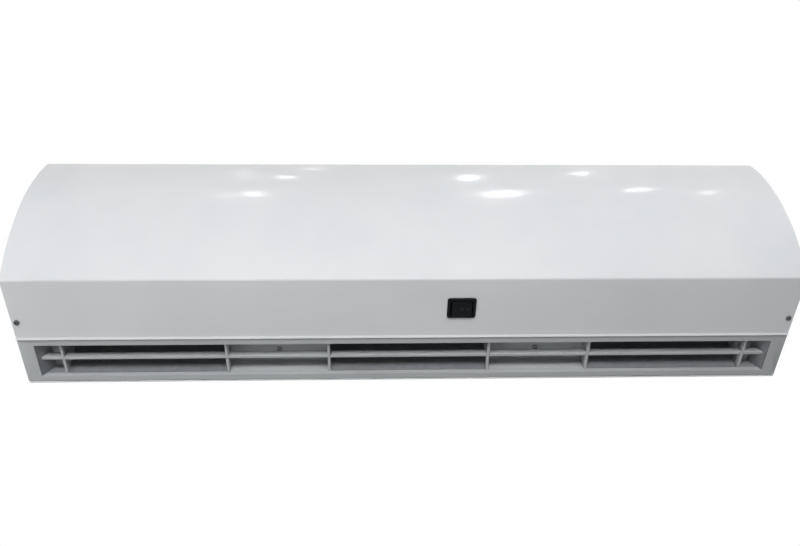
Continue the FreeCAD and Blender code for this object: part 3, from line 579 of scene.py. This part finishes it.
@dataclass
class FrontCover:
    """Bent sheet cover: top flange, arched front, crease, switch band and turned lip.

    The section is a line, an arc, a line and a short turned lip whose corners are rounded to the
    bends of a press brake, carried straight along the casing with a second skin one sheet inside.
    """

    top_depth: float = 136.6
    bulge: float = 20.0
    sheet: float = 1.0
    edge: float = 0.25
    top_flange: float = 14.0
    band_run: float = 77.5
    lip_run: float = 2.7
    lip_rise: float = 1.7
    fold_reach: float = 1.9
    lip_fold_reach: float = 0.8
    window_x: float = 58.0
    window_run: float = 38.9
    window_length: float = 28.4
    window_width: float = 21.9
    fold_points: int = 9
    arch_points: int = 72
    band_points: int = 5
    window_points: int = 4
    stations: int = 31

    def bend(self, start: np.ndarray, corner: np.ndarray, end: np.ndarray) -> np.ndarray:
        """Round a corner with a quadratic curve from start to end that is drawn to the corner."""
        share = np.linspace(0.0, 1.0, self.fold_points)[:, None]
        return (1 - share) ** 2 * start + 2 * share * (1 - share) * corner + share ** 2 * end

    def section(self) -> tuple[np.ndarray, np.ndarray]:
        """Work out the outer skin's section.

        Returns:
            Points (y, z), and each point's run down the slope, which is below 0 before the crease.
        """
        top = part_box("back_plate")[1].z / MM
        flange_end = np.array([self.top_flange - self.top_depth, top])
        shoulder = np.array([-self.top_depth, top])
        crease = SLOPE.points(0.0, 0.0)
        chord = crease - shoulder
        length = np.hypot(*chord)
        radius = (length ** 2 / 4 + self.bulge ** 2) / (2 * self.bulge)
        inward = np.array([-chord[1], chord[0]]) / length
        centre = (shoulder + crease) / 2 + inward * (radius - self.bulge)
        first, last = (math.atan2(*(point - centre)[::-1]) % math.tau for point in (shoulder, crease))
        trim = self.fold_reach / radius
        angle = np.linspace(first + trim, last - trim, self.arch_points)
        arch = centre + radius * joined(np.cos(angle), np.sin(angle))
        flange_fold = self.bend(shoulder + np.array([self.fold_reach, 0.0]), shoulder, arch[0])
        crease_fold = self.bend(arch[-1], crease, SLOPE.points(self.fold_reach, 0.0))
        window_start = self.window_run - self.window_width / 2
        window_end = self.window_run + self.window_width / 2
        band_end = self.band_run - self.lip_fold_reach
        runs = np.concatenate([np.linspace(self.fold_reach, window_start, self.band_points)[1:],
                               np.linspace(window_start, window_end, self.window_points)[1:],
                               np.linspace(window_end, band_end, self.band_points)[1:-1]])
        share = self.lip_fold_reach / math.hypot(self.lip_run, self.lip_rise)
        lip_fold = self.bend(SLOPE.points(band_end, 0.0), SLOPE.points(self.band_run, 0.0),
                             SLOPE.points(self.band_run + share * self.lip_run, -share * self.lip_rise))
        lip_end = SLOPE.points(self.band_run + self.lip_run, -self.lip_rise)
        before = np.concatenate([[flange_end], flange_fold, arch[1:-1], crease_fold])
        after = np.concatenate([lip_fold, [lip_end]])
        run = np.concatenate([np.full(len(before), -1.0), runs, np.full(len(after), self.band_run)])
        return np.concatenate([before, SLOPE.points(runs, 0.0), after]), run

    def build(self) -> None:
        """Carry the section along the casing, cut the switch window and close the sheet's edges."""
        low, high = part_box("back_plate")
        outer, run = self.section()
        count = len(outer)
        way = np.gradient(outer, axis=0)
        way /= np.hypot(way[:, :1], way[:, 1:])
        inner = outer + self.sheet * joined(-way[:, 1], way[:, 0])
        loop = np.concatenate([outer, inner[::-1]])
        side = np.array([-0.5, 0.5]) * self.window_length + self.window_x
        x = np.unique(np.concatenate([np.linspace(low.x / MM, high.x / MM, self.stations), side]))
        points = joined(x[:, None], loop[:, 0], loop[:, 1])
        quads = grid_quads(len(x), 2 * count, close_columns=True)
        edge = np.array([-0.5, 0.5]) * self.window_width + self.window_run
        first_run, last_run = (int(np.argmin(abs(run - value))) for value in edge)
        first_x, last_x = (int(np.argmin(abs(x - value))) for value in side)
        keep = np.ones(quads.shape[:2], bool)
        keep[first_x:last_x, first_run:last_run] = False
        keep[first_x:last_x, 2 * count - 1 - last_run:2 * count - 1 - first_run] = False
        number = np.arange(len(x) * 2 * count).reshape(len(x), 2 * count)
        skin = number[:, :count]
        back = number[:, :count - 1:-1]
        faces = [quads[keep]]
        for row in (0, -1):
            faces.append(edge_strip(skin[row], back[row]))
        for row in (first_x, last_x):
            faces.append(edge_strip(skin[row, first_run:last_run + 1], back[row, first_run:last_run + 1]))
        for column in (first_run, last_run):
            faces.append(edge_strip(skin[first_x:last_x + 1, column], back[first_x:last_x + 1, column]))
        piece = make_piece("front_cover_sheet", points * MM, np.concatenate(faces).tolist(), Body.CASING,
                           Slot.CASING_PAINT, "front_cover")
        break_edges(piece, self.edge)


@dataclass
class BayWallEdging:
    """Folded edging on the feet of the bay walls, which show in the outlet as pale fins.

    The section is a hairpin round the wall's edge: two straight legs and a half ellipse below, with
    the same line one sheet inside. It is carried down the slope in front of the bar and behind it.
    """

    walls: tuple[float, ...] = (-405.0, -215.0, -95.0, 95.0, 215.0, 405.0)
    wall_half: float = 1.0
    sheet: float = 0.6
    foot: float = 5.0
    nose: float = 0.9
    leg: float = 5.0
    gap: float = 0.02
    runs: tuple[tuple[float, float], ...] = ((90.0, 110.35), (114.05, 134.4))
    nose_points: int = 13

    def hairpin(self, half: float, nose: float) -> np.ndarray:
        """Work out one line of the section.

        Args:
            half: Distance of each leg from the middle of the wall.
            nose: How far the line passes below the wall's foot.

        Returns:
            Points (across, inward), from one leg's end round to the other's.
        """
        turn = np.linspace(math.pi, math.tau, self.nose_points)
        round_foot = joined(half * np.cos(turn), self.foot + nose * np.sin(turn))
        top = self.foot + self.leg
        return np.concatenate([[[-half, top]], round_foot, [[half, top]]])

    def build(self) -> None:
        """Carry the section along both cells of every wall."""
        outer = self.hairpin(self.wall_half + self.gap + self.sheet, self.nose)
        inner = self.hairpin(self.wall_half + self.gap, self.nose - self.sheet)
        count = len(outer)
        loop = np.concatenate([outer, inner[::-1]])
        walls = np.array(self.walls)[:, None, None, None]
        sloped = SLOPE.points(np.array(self.runs)[:, :, None], loop[:, 1])
        points = joined(walls + loop[:, 0], sloped[..., 0], sloped[..., 1])
        number = np.arange(2 * count).reshape(2, count)
        ends = [edge_strip(number[0], number[1, ::-1]) + start for start in (0, 2 * count)]
        one = np.concatenate([grid_quads(2, 2 * count, close_columns=True).reshape(-1, 4), *ends])
        faces = repeated(one, len(self.walls) * len(self.runs), 4 * count)
        make_piece("bay_wall_edging", points * MM, faces.tolist(), Body.CASING, Slot.FRAME_PAINT)


@dataclass
class EndCheeks:
    """Sloping cheeks in the outlet's end cells, from the opening's edge to the back of the pan.

    The section is a thin flat strip whose line runs towards the middle of the casing as it goes in.
    It is carried down the slope across the opening, and the bar's ends pass through it.
    """

    edge_x: float = 432.4
    inset: float = 11.0
    mouth: float = 1.5
    back: float = 18.9
    sheet: float = 0.6
    first_run: float = 89.9
    last_run: float = 134.5

    def build(self) -> None:
        """Carry the section across the opening at each end."""
        inner = self.edge_x - self.inset
        section = np.array([[self.edge_x, self.mouth], [inner, self.back],
                            [inner + self.sheet, self.back], [self.edge_x + self.sheet, self.mouth]])
        sides = np.array([-1.0, 1.0])[:, None, None]
        sloped = SLOPE.points(np.array([[self.first_run], [self.last_run]]), section[:, 1])
        rings = joined(sides * section[:, 0], sloped[..., 0], sloped[..., 1])
        make_piece("end_bay_cheeks", rings * MM, loft(rings), Body.CASING, Slot.GALVANISED_STEEL)


@dataclass
class PanScrew:
    """Pan-head screw with a cross recess.

    The head is a polar grid: its height is a flattened dome, less a recess where the smaller of
    the two cross distances is inside an arm's half width. Its rim turns down in steps that are
    shares of the head's radius and height. The shank below is a plain cylinder.
    """

    head_radius: float = 3.25
    head_height: float = 1.8
    hub_radius: float = 0.04
    dome_share: float = 0.94
    dome_fall: float = 0.32
    rim: tuple[tuple[float, float], ...] = ((0.985, 0.5), (1.0, 0.36), (1.0, 0.0))
    recess_depth: float = 1.2
    arm_half: float = 0.42
    arm_reach: float = 1.9
    edge: float = 0.22
    shank_radius: float = 1.5
    shank_length: float = 7.0
    rings: int = 26
    around: int = 72

    def rings_of_one(self) -> np.ndarray:
        """Work out one screw that stands on its head's underside, in millimetres.

        Returns:
            Rings of points, shaped (rings, points, 3), from the middle of the recess to the tip.
        """
        angle = np.linspace(0.0, math.tau, self.around, endpoint=False)
        radius = np.linspace(self.hub_radius, self.head_radius * self.dome_share, self.rings)[:, None]
        across, along = radius * np.cos(angle), radius * np.sin(angle)
        small = np.minimum(abs(across), abs(along))
        large = np.maximum(abs(across), abs(along))
        inside = np.clip((self.arm_half - small) / self.edge + 0.5, 0, 1)
        inside = inside * np.clip((self.arm_reach - large) / (2 * self.edge) + 0.5, 0, 1)
        dome = self.head_height * (1 - self.dome_fall * (radius / self.head_radius) ** 2)
        top = joined(across, along, dome - self.recess_depth * inside)
        rim = np.array(self.rim) * [self.head_radius, self.head_height]
        shank = np.array([[self.shank_radius, 0.0], [self.shank_radius, -self.shank_length]])
        turned = np.concatenate([rim, shank])
        rest = joined(turned[:, :1] * np.cos(angle), turned[:, :1] * np.sin(angle), turned[:, 1:])
        return np.concatenate([top, rest])


@dataclass
class CasingScrews:
    """Screws of the cover's band and top flange, and of the plates under the motors.

    Each screw is turned by its own angle in degrees, as a hand leaves it.
    """

    screw: PanScrew
    band_x: float = 444.0
    band_run: float = 56.2
    band_turns: tuple[float, float] = (20.0, 65.0)
    top_x: float = 330.0
    top_inset: float = 7.0
    top_depth: float = 136.6
    top_turns: tuple[float, float, float] = (10.0, 50.0, 80.0)
    motor_x: float = 155.0
    bay_run: float = 116.2
    bay_recess: float = 25.0
    bay_turns: tuple[float, float] = (35.0, 75.0)
    sharp_deg: float = 40.0

    def spun(self, turn_deg: float) -> np.ndarray:
        """Turn the screw about its own axis.

        Args:
            turn_deg: Angle in degrees.

        Returns:
            Rings of points in millimetres.
        """
        cosine = math.cos(math.radians(turn_deg))
        sine = math.sin(math.radians(turn_deg))
        spin = np.array([[cosine, sine, 0.0], [-sine, cosine, 0.0], [0.0, 0.0, 1.0]])
        return self.screw.rings_of_one() @ spin

    def join(self, placed: list[np.ndarray], name: str, node: str) -> None:
        """Make one piece of several screws' rings, in metres, that stands for a node's plain ones."""
        rings = np.stack(placed)
        make_piece(name, rings, loft(rings), Body.CASING, Slot.SCREW_STEEL, node, self.sharp_deg)

    def build(self) -> None:
        """Place the screws and join those of each node."""
        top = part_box("back_plate")[1].z / MM
        band = [SLOPE.stand(self.spun(turn), x, self.band_run)
                for x, turn in zip((-self.band_x, self.band_x), self.band_turns)]
        flange = [(self.spun(turn) + np.array([x, self.top_inset - self.top_depth, top])) * MM
                  for x, turn in zip((-self.top_x, 0.0, self.top_x), self.top_turns)]
        bays = [SLOPE.stand(self.spun(turn), x, self.bay_run, self.bay_recess)
                for x, turn in zip((-self.motor_x, self.motor_x), self.bay_turns)]
        self.join(band + flange, "cover_pan_screws", "cover_screws")
        self.join(bays, "bay_pan_screws", "bay_cover_screws")


def rounded_rings(sizes: np.ndarray, corner_points: int = 8) -> np.ndarray:
    """Work out a stack of rounded rectangles.

    Each corner is a quarter circle round a centre that lies its radius inside both sides.

    Args:
        sizes: Half length, half width, corner radius and height of each ring.
        corner_points: Points in each corner.

    Returns:
        Rings of points, shaped (rings, 4 * corner_points, 3).
    """
    angle = np.linspace(0.0, math.pi / 2, corner_points)
    turn = (angle + np.arange(4)[:, None] * math.pi / 2).ravel()
    sign_x = np.repeat([1.0, -1.0, -1.0, 1.0], corner_points)
    sign_y = np.repeat([1.0, 1.0, -1.0, -1.0], corner_points)
    length, width, radius, height = (column[:, None] for column in sizes.T)
    return joined(sign_x * (length - radius) + radius * np.cos(turn),
                  sign_y * (width - radius) + radius * np.sin(turn), height)


@dataclass
class RockerSwitch:
    """Three-position rocker switch in the band: a bezelled housing and a dished rocker.

    The housing is a stack of rounded rectangles from the well's floor, over the bezel and down the
    outside to the back. The rocker is a closed outline with a dished top, carried across its width
    and drawn in at both sides.
    """

    x: float = 58.0
    run: float = 38.9
    seam: float = 0.2
    bezel_half: tuple[float, float] = (16.5, 13.5)
    bezel_proud: float = 2.0
    bezel_corner: float = 3.0
    # How far each ring lies inside the bezel's outline, inside its corner radius and below its face
    bezel_round: tuple[tuple[float, float, float], ...] = (
        (1.0, 0.9, 0.06), (0.4, 0.4, 0.35), (0.1, 0.1, 0.85), (0.0, 0.0, 1.3))
    box_half: tuple[float, float] = (14.0, 10.75)
    box_depth: float = 22.0
    box_corner: float = 0.6
    well_half: tuple[float, float] = (12.8, 9.8)
    well_depth: float = 9.0
    well_corner: float = 0.5
    # How far each ring lies outside the well's outline, beyond its corner radius and below the face
    well_lip: tuple[tuple[float, float, float], ...] = ((0.0, 0.0, 0.5), (0.12, 0.1, 0.15), (0.45, 0.4, 0.0))
    rocker_half: tuple[float, float] = (11.4, 9.5)
    rocker_sharp_deg: float = 50.0
    ear: float = 4.2
    ear_round: float = 0.7
    side_round: float = 0.6
    dip: float = 2.6
    dish_power: float = 1.2
    waist: float = -0.5
    heel: float = -7.0
    heel_half: float = 4.0
    mark_x: float = 7.0
    mark_length: float = 4.0
    mark_width: float = 0.8
    mark_ring: float = 1.7
    mark_lift: float = 0.02
    mark_film: float = 0.06
    face_points: int = 41
    ear_points: int = 7
    side_points: int = 5
    mark_points: int = 5
    ring_points: int = 33

    def face(self, x: np.ndarray) -> np.ndarray:
        """Height of the dished face: from dip to ear with a power of the distance from the middle."""
        return self.dip + (self.ear - self.dip) * (abs(x) / self.rocker_half[0]) ** self.dish_power

    def place(self, local: np.ndarray) -> np.ndarray:
        """Stand local points on the band at the switch."""
        return SLOPE.stand(local, self.x, self.run, -self.seam)

    def build(self) -> None:
        """Make the housing, the rocker and its marks."""
        self.build_housing()
        self.build_rocker()
        self.build_marks()

    def build_housing(self) -> None:
        """Stack the rings of the well, its lip, the bezel's rounded edge and the box, and join them."""
        well_x, well_y = self.well_half
        bezel_x, bezel_y = self.bezel_half
        corner = self.bezel_corner
        proud = self.bezel_proud
        lip = [[well_x + out, well_y + out, self.well_corner + rounder, proud - below]
               for out, rounder, below in self.well_lip]
        bezel = [[bezel_x - inset, bezel_y - inset, corner - tighter, proud - below]
                 for inset, tighter, below in self.bezel_round]
        sizes = np.array([[well_x, well_y, self.well_corner, -self.well_depth], *lip, *bezel,
                          [bezel_x, bezel_y, corner, 0.0], [*self.box_half, self.box_corner, 0.0],
                          [*self.box_half, self.box_corner, -self.box_depth]])
        rings = self.place(rounded_rings(sizes))[None]
        make_piece("switch_bezel_housing", rings, loft(rings), Body.CASING, Slot.SWITCH_PLASTIC,
                   "switch_housing")

    def build_rocker(self) -> None:
        """Carry the rocker's outline across its width, drawn in by a quarter circle at both sides."""
        half_x, half_y = self.rocker_half
        soft = self.ear_round
        top_x = np.linspace(soft - half_x, half_x - soft, self.face_points)
        turn = np.linspace(math.pi / 2, 0.0, self.ear_points)[1:]
        ear = joined(half_x - soft + soft * np.cos(turn), self.ear - soft + soft * np.sin(turn))
        under = np.array([[half_x, self.waist], [self.heel_half, self.heel],
                          [-self.heel_half, self.heel], [-half_x, self.waist]])
        outline = np.concatenate([joined(top_x, self.face(top_x)), ear, under, (ear * [-1.0, 1.0])[::-1]])
        middle = np.array([0.0, (self.ear + self.heel) / 2])
        share = np.linspace(0.0, 1.0, self.side_points)
        draw = self.side_round * (1 - np.sqrt(1 - share ** 2))
        side = half_y - self.side_round + self.side_round * share
        across = np.concatenate([-side[::-1], side])
        inset = np.concatenate([draw[::-1], draw])
        scale = 1 - inset[:, None] / np.array([half_x, (self.ear - self.heel) / 2])
        swept = middle + (outline - middle) * scale[:, None, :]
        rings = self.place(joined(swept[..., 0], across[:, None], swept[..., 1]))[None]
        make_piece("switch_dished_rocker", rings, loft(rings), Body.ROCKER, Slot.SWITCH_PLASTIC,
                   "switch_rocker", self.rocker_sharp_deg)

    def build_marks(self) -> None:
        """Lay printed position marks on the face as thin films: a bar, a ring and a pair of bars."""
        share = np.linspace(-0.5, 0.5, self.mark_points)
        bar_x, bar_y = np.meshgrid(share * self.mark_width, share * self.mark_length, indexing="ij")
        angle = np.linspace(0.0, math.tau, self.ring_points)
        radius = (self.mark_ring + share * self.mark_width)[:, None]
        middles = (-self.mark_x, self.mark_x - self.mark_width, self.mark_x + self.mark_width)
        patches = [(bar_x + middle, bar_y) for middle in middles]
        patches.append((radius * np.cos(angle), radius * np.sin(angle)))
        points = []
        faces = []
        start = 0
        for across, down in patches:
            local = joined(across, down, self.face(across) + self.mark_lift)
            points.append(self.place(local).reshape(-1, 3))
            faces.append(grid_quads(*across.shape).reshape(-1, 4) + start)
            start += len(points[-1])
        piece = make_piece("switch_position_marks", np.concatenate(points), np.concatenate(faces).tolist(),
                           Body.ROCKER, Slot.SWITCH_PLASTIC, finish=PRINT)
        film = piece.modifiers.new("ink_film", "SOLIDIFY")
        film.thickness = self.mark_film * MM
        film.offset = 0.0


@dataclass
class CableGrommet:
    """Rubber grommet in the right end plate: a soft-lipped section turned about the cable's axis."""

    setback: float = 34.0
    up: float = 77.0
    face_x: float = 450.2
    neck: float = 1.6
    flange: float = 2.0
    flange_radius: float = 9.0
    neck_radius: float = 6.5
    bore_radius: float = 4.0
    lip_round: float = 0.8
    lip_points: int = 6
    around: int = 64

    def build(self) -> None:
        """Turn the section, with round lips at the bore and at both flanges' rims."""
        soft = self.lip_round
        turn = np.linspace(0.0, math.pi / 2, self.lip_points)
        quarter = soft * joined(np.sin(turn), np.cos(turn))
        rim = np.array([self.flange - soft, self.flange_radius - soft]) + quarter
        mouth = np.array([self.flange - soft, self.bore_radius + soft]) + quarter[::-1] * [1.0, -1.0]
        half = np.concatenate([[[0.0, self.neck_radius], [0.0, self.flange_radius]], rim, mouth])
        mirrored = joined(-self.neck - half[::-1, 0], half[::-1, 1])
        section = np.concatenate([half, mirrored, half[:1]])
        angle = np.linspace(0.0, math.tau, self.around, endpoint=False)
        rings = joined(section[:, :1] + self.face_x, section[:, 1:] * np.cos(angle) - self.setback,
                       section[:, 1:] * np.sin(angle) + self.up)
        faces = grid_quads(len(section), len(angle), close_columns=True).reshape(-1, 4)
        make_piece("cable_grommet_lips", rings * MM, faces.tolist(), Body.CASING, Slot.BLACK_RUBBER,
                   "cable_grommet")


@dataclass
class PlainNodes:
    """Solids that keep their shape: each takes its record slot's finish, and sheet edges are broken."""

    sheet_starts: tuple[str, ...] = (
        "outlet_frame", "outlet_bar", "bay_partition", "bay_cover_1", "bay_cover_2", "end_bay_pan",
        "end_plate", "back_plate", "top_panel",
    )
    edge: float = 0.3
    # Start of the names of the nodes that get the brighter zinc, which is painted light
    fresh_start: str = "end_bay_pan"
    weld_reach: float = 0.001

    def dress(self) -> None:
        """Give every node its slot's finish, and zinc brightened as painted light to the end bays' pans."""
        for entry in frame["record"]["subparts"]:
            name = entry["node"]
            node = frame["nodes"][name]
            slot = Slot[entry["material_slot"].upper()]
            # The end bays' pans take the zinc a step brighter: painted light for the end cells
            finish = LIGHT_PAINTED_ZINC if name.startswith(self.fresh_start) else slot.value
            node.data.materials.clear()
            node.data.materials.append(finish.make())
            if name.startswith(self.sheet_starts):
                weld = node.modifiers.new("joined_faces", "WELD")
                weld.merge_threshold = self.weld_reach * MM
                break_edges(node, self.edge)
            LOG.info("%s: %s", name, finish.name)


# Studio


class Grid(Enum):
    """Grids in front of the soft boxes, by the angle in degrees that they let out."""

    WIDE = 80.0
    NARROW = 45.0


@dataclass(frozen=True)
class SoftBox:
    """Rectangular studio lamp with a grid, which lights the paint but isn't mirrored in its gloss."""

    name: str
    place: tuple[float, float, float]
    aim: tuple[float, float, float]
    width: float
    height: float
    watts: float
    grid: Grid = Grid.WIDE

    def build(self) -> None:
        """Hang the lamp and turn it to what it lights."""
        lamp = bpy.data.lights.new(self.name, "AREA")
        lamp.shape = "RECTANGLE"
        lamp.size = self.width
        lamp.size_y = self.height
        lamp.energy = self.watts
        lamp.spread = math.radians(self.grid.value)
        holder = bpy.data.objects.new(self.name, lamp)
        holder.location = self.place
        holder.rotation_euler = (Vector(self.aim) - Vector(self.place)).to_track_quat("-Z", "Y").to_euler()
        holder.visible_glossy = False
        bpy.context.scene.collection.objects.link(holder)


@dataclass(frozen=True)
class CeilingLamp:
    """Small round ceiling lamp whose reflection shows as a highlight in the gloss of the cover."""

    x: float
    y: float
    length: float
    width: float
    watts: float
    z: float = 1.4

    def build(self) -> None:
        """Hang the lamp, facing down."""
        lamp = bpy.data.lights.new("ceiling_lamp", "AREA")
        lamp.shape = "ELLIPSE"
        lamp.size = self.length
        lamp.size_y = self.width
        lamp.energy = self.watts
        holder = bpy.data.objects.new("ceiling_lamp", lamp)
        holder.location = (self.x, self.y, self.z)
        bpy.context.scene.collection.objects.link(holder)


@dataclass
class Studio:
    """Pale floor, white surroundings and soft lamps. Its sizes are metres."""

    floor_drop: float = 2.1
    floor_half: float = 30.0
    ambient: float = 0.07
    ambient_colour: str = "#f4f6f8"
    backdrop_colour: str = "#ffffff"
    # Name, place, aim, width, height and watts of each
    soft_boxes: tuple[SoftBox, ...] = (
        SoftBox("front_soft_box", (-0.45, -1.4, -0.35), (-0.45, -0.1, -0.06), 2.4, 0.4, 6.6),
        SoftBox("right_upper_fill", (1.4, -1.1, 0.9), (0.65, -0.13, 0.0), 0.5, 0.5, 0.5, Grid.NARROW),
        SoftBox("low_wall_fill", (-1.5, 0.8, -1.6), (-0.2, -0.1, -0.1), 1.2, 0.6, 2.6),
        SoftBox("rear_soft_box", (1.0, 2.6, 0.9), (0.0, 0.0, 0.05), 1.6, 1.0, 6.0),
        SoftBox("top_soft_box", (0.1, 1.3, 2.2), (0.0, -0.07, 0.12), 1.2, 0.5, 2.4, Grid.NARROW),
        SoftBox("left_soft_box", (-2.4, 0.5, 0.7), (-0.3, -0.06, 0.0), 1.0, 1.0, 1.9, Grid.NARROW),
        SoftBox("right_soft_box", (2.4, 0.5, 0.7), (0.3, -0.06, 0.0), 1.0, 1.0, 1.9, Grid.NARROW),
    )
    # Place along and in front of the casing, length, width and watts of each
    ceiling_lamps: tuple[CeilingLamp, ...] = (
        CeilingLamp(0.25, -0.47, 0.06, 0.18, 0.27),
        CeilingLamp(0.385, -0.97, 0.12, 0.22, 0.8),
        CeilingLamp(0.80, -0.84, 0.06, 0.12, 0.28),
        CeilingLamp(0.575, -0.33, 0.03, 0.08, 0.11),
        CeilingLamp(-0.284, -0.46, 0.035, 0.08, 0.115),
        CeilingLamp(-0.405, -0.98, 0.04, 0.14, 0.3),
        CeilingLamp(-0.495, -1.04, 0.02, 0.1, 0.07),
        CeilingLamp(1.04, -0.92, 0.03, 0.1, 0.15),
        CeilingLamp(-0.40, -0.38, 0.015, 0.36, 0.06),
        CeilingLamp(-0.205, -0.18, 0.05, 0.05, 0.04),
    )

    def build(self) -> None:
        """Lay the floor, light the world and hang the lamps."""
        self.lay_floor()
        self.light_world()
        for lamp in (*self.soft_boxes, *self.ceiling_lamps):
            lamp.build()

    def lay_floor(self) -> None:
        """Lay a wide flat floor."""
        edge = np.array([-self.floor_half, self.floor_half])
        points = joined(edge[:, None], edge, -self.floor_drop).reshape(-1, 3)
        mesh = bpy.data.meshes.new("studio_floor")
        mesh.from_pydata(points.tolist(), [], [[0, 2, 3, 1]])
        mesh.materials.append(FLOOR.make())
        floor = bpy.data.objects.new("studio_floor", mesh)
        bpy.context.scene.collection.objects.link(floor)

    def light_world(self) -> None:
        """Make the world white to the eye and in reflections, and dimmer as a light."""
        world = bpy.data.worlds.new("studio_world")
        world.use_nodes = True
        tree = world.node_tree
        tree.nodes.clear()
        light = add_node(tree, "ShaderNodeBackground",
                         {"Color": linear(self.ambient_colour), "Strength": self.ambient})
        white = add_node(tree, "ShaderNodeBackground",
                         {"Color": linear(self.backdrop_colour), "Strength": 1.0})
        mix = add_node(tree, "ShaderNodeMixShader",
                       {0: seen_rays(tree), 1: light.outputs[0], 2: white.outputs[0]})
        add_node(tree, "ShaderNodeOutputWorld", {"Surface": mix.outputs[0]})
        bpy.context.scene.world = world


@dataclass(frozen=True)
class Viewpoint:
    """Camera below and in front of the casing, looking up, as the photograph was taken."""

    place: tuple[float, float, float] = (-50.4, -802.4, -672.7)
    pitch_deg: float = 42.15
    yaw_deg: float = 3.25
    roll_deg: float = -2.38
    lens: float = 36.0
    sensor: float = 36.0
    nearest: float = 10.0

    def build(self) -> None:
        """Make the scene's camera."""
        pitch, yaw, roll = (math.radians(value) for value in (self.pitch_deg, self.yaw_deg, self.roll_deg))
        ahead = Vector((math.sin(yaw) * math.cos(pitch), math.cos(yaw) * math.cos(pitch), math.sin(pitch)))
        level = Vector((math.cos(yaw), -math.sin(yaw), 0.0))
        above = level.cross(ahead)
        right = level * math.cos(roll) + above * math.sin(roll)
        up = above * math.cos(roll) - level * math.sin(roll)
        data = bpy.data.cameras.new("photo_camera")
        data.sensor_fit = "HORIZONTAL"
        data.sensor_width = self.sensor
        data.lens = self.lens
        data.clip_start = self.nearest * MM
        camera = bpy.data.objects.new("photo_camera", data)
        turn = Matrix((right, up, -ahead)).transposed().to_4x4()
        camera.matrix_world = Matrix.Translation(Vector(self.place) * MM) @ turn
        bpy.context.scene.collection.objects.link(camera)
        bpy.context.scene.camera = camera


def main() -> None:
    """Dress the part, set up the studio and place the camera."""
    logging.basicConfig(level=logging.INFO, format="%(message)s")
    bpy.context.scene.view_settings.view_transform = "Standard"
    PlainNodes().dress()
    FrontCover().build()
    BayWallEdging().build()
    EndCheeks().build()
    CasingScrews(PanScrew()).build()
    RockerSwitch().build()
    CableGrommet().build()
    Studio().build()
    Viewpoint().build()


if __name__ == "__main__":
    main()
